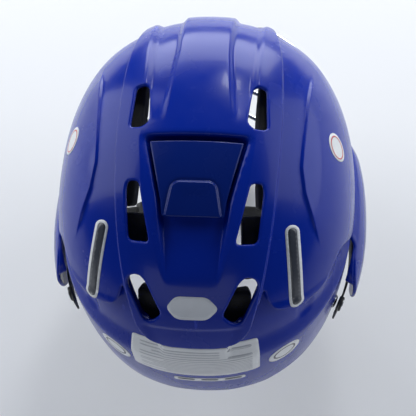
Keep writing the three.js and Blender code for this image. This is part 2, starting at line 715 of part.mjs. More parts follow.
function crossWire(z) {
  const end = rimAtHeight(z);
  const reach = THREE.MathUtils.radToDeg(Math.asin(end.x / cagePoint(90, z).x));
  const miss = end.y - cagePoint(reach, z).y;
  const parts = [-1, -0.84, -0.62, -0.4, -0.2, 0, 0.2, 0.4, 0.62, 0.84, 1];
  const points = parts.map((part) => cagePoint(part * reach, z).add(vector(0, miss * part ** 4, 0)));
  return wire(points, WIRE_RADIUS, 12, 5);
}

const CROSS_HEIGHTS = [-8, -32, -56, -80, -103, -122];

function uprightWire(degrees, topX, bottomX) {
  const top = rimAtWidth(topX, true);
  const bottom = rimAtWidth(bottomX, false);
  const heights = CROSS_HEIGHTS.filter((z) => z > bottom.z + 8);
  const points = [top, ...heights.map((z) => cagePoint(degrees, z)), bottom];
  return wire(points, WIRE_RADIUS, 9, 5);
}

function cageWires() {
  const rim = wire(CAGE_RIM, RIM_WIRE_RADIUS, 40);
  const uprights = [uprightWire(9.5, 18, 14), uprightWire(27, 48, 40), uprightWire(44, 70, 66)];
  return union([bothSides(union([rim, ...uprights])), ...CROSS_HEIGHTS.map(crossWire)]);
}

addPart('cage_wire', cageWires(), 'steel_wire');

// ---- brow clips and side hooks -------------------------------------------------------------------

function browClip() {
  const { halfWidth, y, low, high } = BROW_LAND;
  const face = y - CLEARANCE;
  const [x0, x1] = [BROW_CLIP_X - halfWidth, BROW_CLIP_X + halfWidth];
  const barrel = rod(vector(x0 + 1, HINGE_Y, HINGE_Z), vector(x1 - 1, HINGE_Y, HINGE_Z), 4.8, 16);
  const web = box([x0 + 1, HINGE_Y, HINGE_Z - 1], [x1 - 1, face - 1, HINGE_Z + 4.8]);
  return union([box([x0, face - CLIP_PLATE, low], [x1, face, high]), barrel, web])
    .subtract(rod(vector(0, HINGE_Y, HINGE_Z), vector(60, HINGE_Y, HINGE_Z), RIM_WIRE_RADIUS + 0.6, 16))
    .subtract(rod(browAxis(14), browAxis(-4), SCREW_HOLE_RADIUS, 8));
}

addPair('brow_clip', browClip(), 'black_plastic');

// A hook that is open ahead, so that the rim wire swings out of it forwards and down.
function sideHook() {
  const foot = solid(slab((s, t, face) => {
    const y = THREE.MathUtils.lerp(-81.5, -66, s);
    const z = THREE.MathUtils.lerp(-7, -19, t);
    return sidePoint(y, z, armStandoff(y, z) + (face ? 2.9 : 0.4));
  }, 4, 2));
  return union([
    foot,
    box([84.7, -80.6, -19], [93, -78.2, -7]),
    box([91.3, -87, -19], [93.2, -78, -7]),
  ]).subtract(rod(hookAxis(8), hookAxis(-6), SCREW_HOLE_RADIUS, 8));
}

addPair('side_hook', sideHook(), 'black_plastic');

// ---- chin cup --------------------------------------------------------------------------------------

const CUP_CENTRE = [0, -92, -114];

function ellipsoid(radii) {
  const ball = new THREE.SphereGeometry(1, 18, 10);
  return solid(ball.scale(...radii).translate(...CUP_CENTRE));
}

function chinCup() {
  const keep = box([-40, -130, -140], [40, -86, -104]);
  const bowl = ellipsoid([37, 30, 22]).subtract(ellipsoid([34.6, 27.6, 19.6])).intersect(keep);
  const lug = box([22, -115, -143], [31, -100, -128.5]).subtract(ellipsoid([35.5, 28.5, 20.5]));
  const slack = wire(CAGE_RIM.slice(-4), RIM_WIRE_RADIUS + 0.8, 20, 8);
  return bothSides(bowl.add(lug.subtract(slack)));
}

addPart('chin_cup', chinCup(), 'black_plastic');
addPart('chin_cup_pad', ellipsoid([34, 27, 19]).subtract(ellipsoid([28, 21, 13]))
  .intersect(box([-40, -130, -140], [40, -90, -106])), 'comfort_foam');

// ---- straps ----------------------------------------------------------------------------------------

// Webbing from the cage's rim wire back to the snap on the rear shell.
function cageStrap() {
  const band = solid(slab((s, t, face) => {
    const y = THREE.MathUtils.lerp(-64.5, 73, s);
    const z = -68 + 44 * ramp(s, -0.15, 1.1) + 14 * (0.5 - t);
    const offset = 2.5 + 0.4 * Math.sin(Math.PI * s) + (face ? 1.5 : 0);
    return sidePoint(y, z, offset);
  }, 12, 1));
  const loopTop = rimAtHeight(-61);
  const loopBottom = rimAtHeight(-75);
  const loop = rod(loopTop, loopBottom, 4.9, 12);
  const middle = new THREE.Vector3().addVectors(loopTop, loopBottom).multiplyScalar(0.5);
  const along = new THREE.Vector3().subVectors(loopBottom, loopTop);
  const bore = rod(middle.clone().sub(along), middle.clone().add(along), 3.4, 12);
  return band.add(loop).subtract(bore).subtract(rod(studAxis(12), studAxis(0), SNAP_RADIUS + CLEARANCE, 16));
}

const SNAP_RADIUS = 5.2;

addPair('cage_strap', cageStrap(), 'webbing');
addPair('snap_cap', rod(studAxis(2.9), studAxis(6.6), SNAP_RADIUS, 16), 'black_plastic');

// Chin strap, as a ribbon from below the ear to under the chin.
const CHIN_PATH = new THREE.CatmullRomCurve3([
  vector(94.5, -22, -62), vector(93, -26, -78), vector(84, -36, -102), vector(64, -52, -126),
  vector(34, -64, -145), vector(0, -68, -151),
], false, 'centripetal');

function ribbon(from, to, width, low, high, rows) {
  return solid(slab((s, t, face) => {
    const part = THREE.MathUtils.lerp(from, to, s);
    const tangent = CHIN_PATH.getTangentAt(part);
    const across = vector(0, 1, 0);
    const out = new THREE.Vector3().crossVectors(tangent, across).normalize();
    const point = CHIN_PATH.getPointAt(part).addScaledVector(across, (t - 0.5) * width);
    return point.addScaledVector(out, face ? high : low);
  }, rows, 1));
}

const BUCKLE_START = 0.46;
const BUCKLE_END = 0.62;

addPart('chin_strap_left', ribbon(0, BUCKLE_START - 0.002, 15, 0, 1.6, 10), 'webbing');
addPart('chin_buckle', ribbon(BUCKLE_START, BUCKLE_END, 22, -2, 4, 3), 'black_plastic');
addPart('chin_strap_right', mirrored(geometryOf(ribbon(0, 0.999, 15, 0, 1.6, 18))), 'webbing');
addPart('chin_strap_middle', ribbon(BUCKLE_END + 0.002, 0.999, 15, 0, 1.6, 6), 'webbing');

export default helmet;
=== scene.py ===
import math

import bmesh
import bpy
import numpy as np
from mathutils import Matrix, Vector, geometry, kdtree


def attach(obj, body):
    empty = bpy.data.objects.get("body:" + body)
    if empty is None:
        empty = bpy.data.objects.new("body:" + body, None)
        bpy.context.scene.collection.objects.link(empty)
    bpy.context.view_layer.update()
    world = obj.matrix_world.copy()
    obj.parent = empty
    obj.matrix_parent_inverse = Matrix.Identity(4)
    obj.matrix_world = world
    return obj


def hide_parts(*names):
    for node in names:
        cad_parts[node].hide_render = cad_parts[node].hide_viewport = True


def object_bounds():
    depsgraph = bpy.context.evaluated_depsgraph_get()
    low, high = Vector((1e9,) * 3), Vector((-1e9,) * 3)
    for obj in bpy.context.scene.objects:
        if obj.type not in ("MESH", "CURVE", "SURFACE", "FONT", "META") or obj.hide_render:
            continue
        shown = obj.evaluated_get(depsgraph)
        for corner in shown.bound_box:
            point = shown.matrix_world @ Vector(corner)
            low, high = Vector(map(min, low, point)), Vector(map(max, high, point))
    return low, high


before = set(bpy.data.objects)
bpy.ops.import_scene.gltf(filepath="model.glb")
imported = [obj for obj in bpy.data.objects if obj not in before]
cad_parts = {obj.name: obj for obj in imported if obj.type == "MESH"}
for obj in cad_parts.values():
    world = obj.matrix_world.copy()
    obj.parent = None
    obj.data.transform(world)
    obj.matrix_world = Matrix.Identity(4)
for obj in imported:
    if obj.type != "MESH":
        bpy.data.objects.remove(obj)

# Ice hockey helmet: two glossy shells, a crown latch, a foam liner and a hinged wire cage.
# The code works in millimetres in the row frame, and MM turns them into metres.
MM = 0.001
cad_low, cad_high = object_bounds()

# ---- dimensions shared with the CAD part ----

HALF_WIDTH, FRONT_LENGTH, REAR_LENGTH = 102, 125, 127.5
CROWN_HEIGHT, SKIRT_DEPTH, SQUARENESS = 111.5, 200, 2.25
ACROSS_RADIUS, ALONG_RADIUS = 110, 120
MAP_RADIUS = 112

FRONT_WALL, REAR_WALL = 2.8, 2.6
BAND_STEP, BAND_FADE, BAND_BEVEL = 3.2, 35, 2.5
TAIL_Q = 157.5
CHANNEL_DEPTH, CHANNEL_END_Q = 3, 13
RECESS_FRONT_Q, RECESS_DEPTH, RECESS_WALL = 19.5, 8.8, 2.3
RECESS_RAMP_Q, RECESS_REAR_Q = 75, 109
LEVER_FRONT_Q, LEVER_REAR_Q, LEVER_GAP, LEVER_TOP = 24, 71.5, 2.4, 0.8
PIN_Y, PIN_Z = 23.81, 106.06
REAR_OFFSET, REAR_RAISED_OFFSET, REAR_OUTER_OFFSET, TONGUE_OFFSET = -5.8, -2.6, -1, -12.2
ARM_STANDOFF, ARM_BOTTOM_Z, SLIT_TOP_Z = 11.5, -48, 3.6
HINGE_Y, HINGE_Z = -134, 17
WIRE_RADIUS, RIM_WIRE_RADIUS = 1.9, 2.4


# ---- dome, charts and reliefs ----

def line(value, low, high):
    return np.clip((value - low) / (high - low), 0, 1)


def ramp(value, low, high):
    t = line(value, low, high)
    return t * t * (3 - 2 * t)


def unit(vectors):
    return vectors / np.linalg.norm(vectors, axis=-1, keepdims=True)


def dome_radius(direction):
    x, y, z = direction[..., 0], direction[..., 1], direction[..., 2]
    length = np.where(y > 0, REAR_LENGTH, FRONT_LENGTH)
    height = np.where(z > 0, CROWN_HEIGHT, SKIRT_DEPTH)
    total = (np.abs(x / HALF_WIDTH) ** SQUARENESS + np.abs(y / length) ** SQUARENESS
             + np.abs(z / height) ** SQUARENESS)
    return total ** (-1 / SQUARENESS)


def chart_direction(chart):
    """Directions of chart points: p across the head, q back over the crown, in mm of arc."""
    across, along = chart[..., 0] / ACROSS_RADIUS, chart[..., 1] / ALONG_RADIUS
    return np.stack([np.sin(across), np.cos(across) * np.sin(along), np.cos(across) * np.cos(along)], -1)


def chart_of(direction):
    p = ACROSS_RADIUS * np.arcsin(np.clip(direction[..., 0], -1, 1))
    q = ALONG_RADIUS * np.arctan2(direction[..., 1], direction[..., 2])
    return p, q


def side_direction(side):
    """Directions of points of the dome's +X side wall, given as (y, z)."""
    y, z = side[..., 0], side[..., 1]
    length = np.where(y > 0, REAR_LENGTH, FRONT_LENGTH)
    height = np.where(z > 0, CROWN_HEIGHT, SKIRT_DEPTH)
    rest = 1 - np.abs(y / length) ** SQUARENESS - np.abs(z / height) ** SQUARENESS
    x = HALF_WIDTH * np.maximum(rest, 0) ** (1 / SQUARENESS)
    return unit(np.stack([x, y, z], -1))


def end_direction(end, front):
    """Directions of points of the dome's front or rear wall, given as (x, z)."""
    x, z = end[..., 0], end[..., 1]
    length = -FRONT_LENGTH if front else REAR_LENGTH
    height = np.where(z > 0, CROWN_HEIGHT, SKIRT_DEPTH)
    rest = 1 - np.abs(x / HALF_WIDTH) ** SQUARENESS - np.abs(z / height) ** SQUARENESS
    y = length * np.maximum(rest, 0) ** (1 / SQUARENESS)
    return unit(np.stack([x, y, z], -1))


def map_of(direction):
    """The flat map that the shells are meshed on: polar angle from the crown, times MAP_RADIUS."""
    angle = np.arccos(np.clip(direction[..., 2], -1, 1))
    flat = np.hypot(direction[..., 0], direction[..., 1])
    scale = MAP_RADIUS * angle / np.maximum(flat, 1e-9)
    return np.stack([direction[..., 0] * scale, direction[..., 1] * scale], -1)


def map_direction(flat):
    size = np.hypot(flat[..., 0], flat[..., 1])
    angle = size / MAP_RADIUS
    share = np.sin(angle) / np.maximum(size, 1e-9)
    return np.stack([flat[..., 0] * share, flat[..., 1] * share, np.cos(angle)], -1)


def raised(direction, height):
    """Points at a height over the dome along a direction."""
    return direction * (dome_radius(direction) + height)[..., None]


def band_half_width(q):
    front = 52 - 7 * (np.maximum(q, -120) / 85) ** 2
    rear = 52 - 22 * (np.clip(q, 0, 165) / 150) ** 1.6
    return np.where(q < 0, front, rear)


def recess_half_width(q):
    return 31 - 10.5 * line(q, RECESS_FRONT_Q, 62) - 7 * line(q, 62, RECESS_REAR_Q)


def shoulder_half_width(q):
    """Where the chamfer round the latch recess starts, outside the recess."""
    return np.interp(q, [20, 57, 84, 109, 116], [33.5, 28.5, 20.5, 14, 12])


def recess_depth_inside(p, q):
    """How far a chart point lies inside the latch recess, with its front corners rounded."""
    corner = 4
    a, b = recess_half_width(q) - np.abs(p), q - RECESS_FRONT_Q
    near = corner - np.hypot(np.minimum(a - corner, 0), np.minimum(b - corner, 0))
    return np.where((a < corner) & (b < corner), near, np.minimum(a, b))


def recess_floor(q):
    return BAND_STEP / 2 - RECESS_DEPTH * (1 - line(q, RECESS_RAMP_Q, RECESS_REAR_Q))


def channel_inner_edge(q):
    return 13.5 + 5 * ramp(q, -60, 10)


def channel_depth(p, q):
    size, inner = np.abs(p), channel_inner_edge(q)
    inside = ramp(size, inner, inner + 4.5) * (1 - ramp(size, 29.5, 34.5))
    return CHANNEL_DEPTH * inside * (1 - ramp(q, -22, CHANNEL_END_Q))


def side_crease(q):
    """The character line on the side panels, as p over q."""
    return np.interp(q, [-70, -45, 0, 35, 55, 80, 100], [71, 70, 68, 64.5, 66, 72, 78])


def front_relief(direction):
    """Height of the front shell's outer face over the dome, without the latch recess."""
    p, q = chart_of(direction)
    size, edge = np.abs(p), band_half_width(q)
    step = ramp(size, edge - BAND_BEVEL, edge)
    sunk = step * (1 - ramp(size, edge, edge + BAND_FADE))
    height = BAND_STEP / 2 * (1 - step - sunk) - channel_depth(p, q)
    away = size - side_crease(q)
    shown = ramp(q, -75, -40) * (1 - ramp(q, 70, 100))
    height += shown * (1.5 * np.exp(-np.maximum(away, 0) / 10) * ramp(away, -1.6, 0.2))
    shoulder = shoulder_half_width(q)
    chamfer = line(shoulder - size, -0.3, np.maximum(shoulder - recess_half_width(q), 2.5))
    height -= 1.3 * chamfer * ramp(q, 17, 24) * (1 - ramp(q, 100, 114))
    tail = ramp(q, 137.5, 141.5) * (1 - ramp(size, edge - 11, edge - 5))
    lip = (1 - ramp(size, 92, 104)) * ramp(size, 36, 41) * ramp(q + 0.0021 * (size - 64) ** 2, 128.5, 134)
    return height - 1.2 * tail + 0.9 * lip + arm_standoff(direction)


def arm_standoff(direction):
    """How far the side arms stand off the dome."""
    point = direction * dome_radius(direction)[..., None]
    y, z = point[..., 1], point[..., 2]
    down = 0.24 + 0.76 * np.sin(np.pi / 2 * line(z, 2, -22))
    tuck = 1 - 0.22 * line(z, -28, ARM_BOTTOM_Z)
    return ARM_STANDOFF * ramp(y, -74, -38) * down * tuck * (1 - ramp(z, 0, SLIT_TOP_Z))


def front_height(direction, grow=0.0):
    """The front shell's outer face with the latch recess sunk in it, grown sideways by `grow`."""
    p, q = chart_of(direction)
    inside = ramp(recess_depth_inside(p, q) + grow, -0.2, 1.4)
    top = front_relief(direction)
    return top + inside * np.minimum(recess_floor(q) - top, 0)


def rear_height(direction):
    p, q = chart_of(direction)
    size, edge = np.abs(p), band_half_width(q) - 6
    lifted = (1 - ramp(size, edge - 4, edge)) * ramp(q, 112, 124)
    tongue = (1 - ramp(size, 22, 27)) * (1 - ramp(q, 106, 118))
    open_part = ramp(q, TAIL_Q + 2, TAIL_Q + 20)
    covered = (REAR_OFFSET + (REAR_RAISED_OFFSET - REAR_OFFSET) * lifted
               + (TONGUE_OFFSET - REAR_OFFSET) * tongue)
    groove = ramp(q, 146, 152) * (1 - ramp(q, 160, 166)) * ramp(size, 62, 66) * (1 - ramp(size, 72, 78))
    return covered + (REAR_OUTER_OFFSET - covered) * open_part - 1.2 * groove


# ---- outlines ----

def resampled(points, step, closed=False):
    points = np.asarray(points, float)
    if closed:
        points = np.vstack([points, points[:1]])
    lengths = np.r_[0, np.cumsum(np.linalg.norm(np.diff(points, axis=0), axis=1))]
    count = max(2, int(round(lengths[-1] / step)) + 1)
    at = np.linspace(0, lengths[-1], count)
    made = np.stack([np.interp(at, lengths, points[:, k]) for k in range(points.shape[1])], -1)
    return made[:-1] if closed else made


def rounded(points, radius, step=1.2, bend=7):
    """A closed outline with each corner replaced by a short curve."""
    points = np.asarray(points, float)
    made = []
    for before, corner, after in zip(np.roll(points, 1, 0), points, np.roll(points, -1, 0)):
        back, ahead = before - corner, after - corner
        near, far = np.linalg.norm(back), np.linalg.norm(ahead)
        reach = min(radius, 0.48 * near, 0.48 * far)
        start, end = corner + back / near * reach, corner + ahead / far * reach
        for t in np.linspace(0, 1, bend):
            made.append((1 - t) ** 2 * start + 2 * t * (1 - t) * corner + t * t * end)
    return resampled(made, step, closed=True)


def both_halves(half):
    """A closed outline from its +X half, given from one point of the middle plane to the other."""
    half = np.asarray(half, float)
    other = half[::-1] * [-1, 1]
    return np.vstack([half, other[1:-1]])


def mirrored(outline):
    return np.asarray(outline, float)[::-1] * [-1, 1]


def arc_points(points, kind):
    """Map points of an outline given in one of the three ways of placing a point on the dome."""
    points = np.array(points, float)
    find = {"chart": chart_direction, "side": side_direction,
            "front": lambda end: end_direction(end, True), "rear": lambda end: end_direction(end, False)}
    return map_of(find[kind](points))


# ---- meshes ----

def add_object(name, vertices, faces, material):
    mesh = bpy.data.meshes.new(name)
    mesh.from_pydata((np.asarray(vertices, float) * MM).tolist(), [], [tuple(map(int, f)) for f in faces])
    mesh.validate()
    shape = bmesh.new()
    shape.from_mesh(mesh)
    bmesh.ops.recalc_face_normals(shape, faces=shape.faces)
    shape.to_mesh(mesh)
    shape.free()
    mesh.shade_smooth()
    thing = bpy.data.objects.new(name, mesh)
    bpy.context.scene.collection.objects.link(thing)
    mesh.materials.append(material)
    return thing


def inside_loops(points, loops):
    """True where a point is inside an odd number of the loops."""
    odd = np.zeros(len(points), bool)
    for loop in loops:
        following = np.roll(loop, -1, 0)
        for (x0, y0), (x1, y1) in zip(loop, following):
            if y0 == y1:
                continue
            crosses = (points[:, 1] > y0) != (points[:, 1] > y1)
            reach = (x1 - x0) * (points[:, 1] - y0) / (y1 - y0) + x0
            odd ^= crosses & (points[:, 0] < reach)
    return odd


def tree_of(points):
    points = np.asarray(points, float)
    if points.shape[1] == 2:
        points = np.column_stack([points, np.zeros(len(points))])
    tree = kdtree.KDTree(len(points))
    for index, point in enumerate(points):
        tree.insert(point, index)
    tree.balance()
    return tree


def distances(points, tree):
    if points.shape[1] == 2:
        points = np.column_stack([points, np.zeros(len(points))])
    return np.array([tree.find(point)[2] for point in points])


RIM_RINGS = (0.12, 0.4, 0.8, 1.3, 2.0)


def rim_rings(loop, place, height, radius):
    """Points beside an outline, on both of its sides, where the rolled edge needs them."""
    along = np.roll(loop, -1, 0) - np.roll(loop, 1, 0)
    normal = unit(np.stack([-along[:, 1], along[:, 0]], -1))
    size = 0.2
    moved = place(loop + size * normal, height(loop)) - place(loop, height(loop))
    scale = np.linalg.norm(moved, axis=1) / size
    made = []
    for ring in RIM_RINGS:
        reach = ring * radius / 1.4
        for side in (1, -1):
            made.append(loop + side * normal * (reach / scale)[:, None])
    return np.vstack(made)


def sheet_solid(name, loops, place, top, bottom, material, spacing=2.4, lines=(), rim=None):
    """A closed sheet over a flat domain with holes: `top` and `bottom` give the heights of its two
    faces, `place` turns a flat point and a height into a point, and the edges are rolled."""
    middle = lambda flat: (top(flat) + bottom(flat)) / 2
    loops = [np.asarray(loop, float) for loop in loops]
    edge_points = np.vstack(loops)
    wall = float(np.median(top(edge_points) - bottom(edge_points)))
    rim = wall / 2 if rim is None else rim
    low, high = loops[0].min(0), loops[0].max(0)
    accepted = edge_points
    edge_tree = tree_of(edge_points)
    if rim > 0.3:
        rings = np.vstack([rim_rings(loop, place, middle, rim) for loop in loops])
        rings = rings[inside_loops(rings, loops)]
        rings = rings[distances(rings, edge_tree) > 0.1]
        accepted = np.vstack([accepted, rings])
    for strip in lines:
        strip = np.asarray(strip, float)
        strip = strip[inside_loops(strip, loops)]
        if len(strip):
            strip = strip[distances(strip, edge_tree) > 0.5]
        if len(strip):
            accepted = np.vstack([accepted, strip])
    rows = np.arange(low[1], high[1], spacing * 0.87)
    columns = np.arange(low[0], high[0], spacing)
    grid = np.array([(x + (k % 2) * spacing / 2, y) for k, y in enumerate(rows) for x in columns])
    grid = grid[inside_loops(grid, loops)]
    if len(grid):
        grid = grid[distances(grid, tree_of(accepted)) > 0.55 * spacing]
        accepted = np.vstack([accepted, grid])
    edges, start = [], 0
    for loop in loops:
        count = len(loop)
        edges += [(start + i, start + (i + 1) % count) for i in range(count)]
        start += count
    made = geometry.delaunay_2d_cdt([Vector(p) for p in accepted], edges, [], 0, 1e-4)
    flat = np.array([(v.x, v.y) for v in made[0]])
    faces = np.array([f for f in made[2] if len(f) == 3])
    faces = faces[inside_loops(flat[faces].mean(1), loops)]
    used = np.unique(faces)
    renumber = np.full(len(flat), -1)
    renumber[used] = np.arange(len(used))
    flat, faces = flat[used], renumber[faces]
    heights = (top(flat), bottom(flat))
    dense = np.vstack([resampled(loop, 0.35, closed=True) for loop in loops])
    near = distances(place(flat, (heights[0] + heights[1]) / 2), tree_of(place(dense, middle(dense))))
    counts = {}
    for a, b, c in faces:
        for pair in ((a, b), (b, c), (c, a)):
            key = (min(pair), max(pair))
            counts[key] = counts.get(key, 0) + 1
    border = np.zeros(len(flat), bool)
    for (a, b), count in counts.items():
        if count == 1:
            border[a] = border[b] = True
    depth = np.clip(rim - np.where(border, 0, near), 0, rim)
    drop = rim - np.sqrt(np.maximum(rim * rim - depth * depth, 0))
    half = (heights[0] - heights[1]) / 2
    drop = np.where(border, half if rim >= wall / 2 - 0.05 else drop, np.minimum(drop, half * 0.96))
    upper, lower = place(flat, heights[0] - drop), place(flat, heights[1] + drop)
    count = len(flat)
    twin = np.arange(count) + count
    if rim >= wall / 2 - 0.05:
        twin = np.where(border, np.arange(count), twin)
        sides = []
    else:
        sides = [(a, b, twin[b], twin[a]) for (a, b), n in counts.items() if n == 1]
    under = [(twin[c], twin[b], twin[a]) for a, b, c in faces]
    vertices = np.vstack([upper, lower])
    everything = [tuple(f) for f in faces] + under + sides
    kept = np.unique(np.concatenate([np.array(f) for f in everything]))
    numbers = np.full(len(vertices), -1)
    numbers[kept] = np.arange(len(kept))
    return add_object(name, vertices[kept], [tuple(numbers[list(f)]) for f in everything], material)


def on_map(flat, height):
    return raised(map_direction(flat), height)


def on_chart(chart, height):
    return raised(chart_direction(chart), height)


def on_side(side, height):
    return raised(side_direction(side), height)


def grid_solid(name, rows, columns, point_at, material, uv_size=None):
    """A closed slab over a grid: `point_at(s, t, face)` gives its outer (1) and inner (0) faces."""
    s, t = np.meshgrid(np.linspace(0, 1, rows + 1), np.linspace(0, 1, columns + 1), indexing="ij")
    outer, inner = point_at(s, t, 1).reshape(-1, 3), point_at(s, t, 0).reshape(-1, 3)
    stride, layer = columns + 1, (rows + 1) * (columns + 1)
    faces = []
    for i in range(rows):
        for j in range(columns):
            a = i * stride + j
            quad = (a, a + 1, a + stride + 1, a + stride)
            faces += [quad, tuple(layer + k for k in reversed(quad))]
    border = ([j for j in range(columns)] + [i * stride + columns for i in range(rows)]
              + [rows * stride + j for j in range(columns, 0, -1)] + [i * stride for i in range(rows, 0, -1)])
    for a, b in zip(border, border[1:] + border[:1]):
        faces.append((b, a, a + layer, b + layer))
    made = add_object(name, np.vstack([outer, inner]), faces, material)
    if uv_size:
        coordinates = np.vstack([np.column_stack([s.ravel() * uv_size[0], t.ravel() * uv_size[1]])] * 2)
        layer_of = made.data.uv_layers.new(name="UVMap")
        indices = np.zeros(len(made.data.loops), int)
        made.data.loops.foreach_get("vertex_index", indices)
        layer_of.data.foreach_set("uv", coordinates[indices].ravel())
    return made


def smooth_path(points, per_span=10):
    """A centripetal Catmull-Rom curve through the points."""
    points = np.asarray(points, float)
    around = np.vstack([2 * points[0] - points[1], points, 2 * points[-1] - points[-2]])
    made = []
    for p0, p1, p2, p3 in zip(around, around[1:], around[2:], around[3:]):
        d0, d1, d2 = (np.linalg.norm(b - a) ** 0.5 for a, b in ((p0, p1), (p1, p2), (p2, p3)))
        t1 = ((p1 - p0) / d0 - (p2 - p0) / (d0 + d1) + (p2 - p1) / d1) * d1
        t2 = ((p2 - p1) / d1 - (p3 - p1) / (d1 + d2) + (p3 - p2) / d2) * d1
        for t in np.linspace(0, 1, per_span, endpoint=False):
            made.append(p1 + t * t1 + t * t * (3 * (p2 - p1) - 2 * t1 - t2)
                        + t ** 3 * (2 * (p1 - p2) + t1 + t2))
    made.append(points[-1])
    return np.array(made)


def ring_faces(rings, sides):
    """Faces that join a row of rings, with a cap on each end."""
    faces = []
    for i in range(rings - 1):
        for j in range(sides):
            k = (j + 1) % sides
            faces.append((i * sides + j, i * sides + k, (i + 1) * sides + k, (i + 1) * sides + j))
    faces.append(tuple(range(sides)))
    faces.append(tuple((rings - 1) * sides + j for j in reversed(range(sides))))
    return faces


def tube_mesh(path, radius, sides=14):
    """Vertices and faces of a round wire along a path, with domed ends."""
    path = np.asarray(path, float)
    tangent = unit(np.gradient(path, axis=0))
    side = np.cross(tangent[0], [0.3, 0.2, 0.93])
    frames = []
    for t in tangent:
        side = side - t * (side @ t)
        side = side / np.linalg.norm(side)
        frames.append((side, np.cross(t, side)))
    rings, centres = [], []
    bulge = [(0.35, -0.94), (0.8, -0.6)]
    for share, back in bulge:
        centres.append((path[0] + tangent[0] * radius * back, frames[0], radius * share))
    for point, axes in zip(path, frames):
        centres.append((point, axes, radius))
    for share, back in reversed(bulge):
        centres.append((path[-1] - tangent[-1] * radius * back, frames[-1], radius * share))
    angles = np.linspace(0, 2 * np.pi, sides, endpoint=False)
    for centre, (u, v), size in centres:
        rings.append(centre + size * (np.cos(angles)[:, None] * u + np.sin(angles)[:, None] * v))
    return np.vstack(rings), ring_faces(len(rings), sides)


def joined(meshes):
    vertices, faces, start = [], [], 0
    for points, polygons in meshes:
        vertices.append(points)
        faces += [tuple(start + k for k in f) for f in polygons]
        start += len(points)
    return np.vstack(vertices), faces


def turned(profile, base, axis, segments=40):
    """A turned part: `profile` is (distance along the axis, radius) from one end to the other."""
    axis = unit(np.asarray(axis, float))
    side = unit(np.cross(axis, [0.13, 0.31, 0.94]))
    other = np.cross(axis, side)
    angles = np.linspace(0, 2 * np.pi, segments, endpoint=False)
    ring = np.cos(angles)[:, None] * side + np.sin(angles)[:, None] * other
    vertices = np.vstack([np.asarray(base) + axis * at + ring * size for at, size in profile])
    return vertices, ring_faces(len(profile), segments)


def rounded_block(size, radius, spacing, shape):
    """A box with rounded edges, `size` in its own axes, each vertex then placed by `shape`."""
    half = np.asarray(size, float) / 2
    radius = min(radius, *(half * 0.98))
    core = half - radius
    counts = [max(3, int(round(2 * h / spacing))) for h in half]
    keys, vertices, faces = {}, [], []

    def vertex(i, j, k):
        key = (i, j, k)
        if key not in keys:
            at = np.array([2 * half[a] * key[a] / counts[a] - half[a] for a in range(3)])
            inner = np.clip(at, -core, core)
            away = at - inner
            reach = np.linalg.norm(away)
            keys[key] = len(vertices)
            vertices.append(inner + away / reach * radius if reach > 1e-9 else at)
        return keys[key]

    for axis in range(3):
        a, b = [k for k in range(3) if k != axis]
        for end in (0, counts[axis]):
            for i in range(counts[a]):
                for j in range(counts[b]):
                    corners = []
                    for di, dj in ((0, 0), (1, 0), (1, 1), (0, 1)):
                        place = [0, 0, 0]
                        place[axis], place[a], place[b] = end, i + di, j + dj
                        corners.append(vertex(*place))
                    faces.append(tuple(corners))
    return shape(np.array(vertices)), faces


def placed_block(size, radius, spacing, centre):
    return rounded_block(size, radius, spacing, lambda points: points + np.asarray(centre, float))


def chart_block(size, radius, spacing, q, height):
    """A rounded block bent over the dome, on the middle line at q and at a height of its middle."""
    return rounded_block(size, radius, spacing, lambda v: on_chart(v[:, :2] + [0, q], v[:, 2] + height))


def moulded(name, node, voxel, passes, material):
    """A smooth copy of a CAD node: remeshed finely, so that its edges and facets round off."""
    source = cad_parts[node]
    made = bpy.data.objects.new(name, source.data.copy())
    bpy.context.scene.collection.objects.link(made)
    made.data.materials.clear()
    made.data.materials.append(material)
    remesh = made.modifiers.new("remesh", "REMESH")
    remesh.mode, remesh.voxel_size = "VOXEL", voxel * MM
    relax = made.modifiers.new("relax", "SMOOTH")
    relax.factor, relax.iterations = 0.5, passes
    apply_modifiers(made)
    made.data.shade_smooth()
    return made


def apply_modifiers(thing):
    evaluated = thing.evaluated_get(bpy.context.evaluated_depsgraph_get())
    mesh = bpy.data.meshes.new_from_object(evaluated)
    thing.modifiers.clear()
    thing.data = mesh


SIDES = ((1, "_left"), (-1, "_right"))


def finish_piece(thing, body, nodes=()):
    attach(thing, body)
    if nodes:
        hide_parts(*nodes)
    return thing


# ---- materials ----

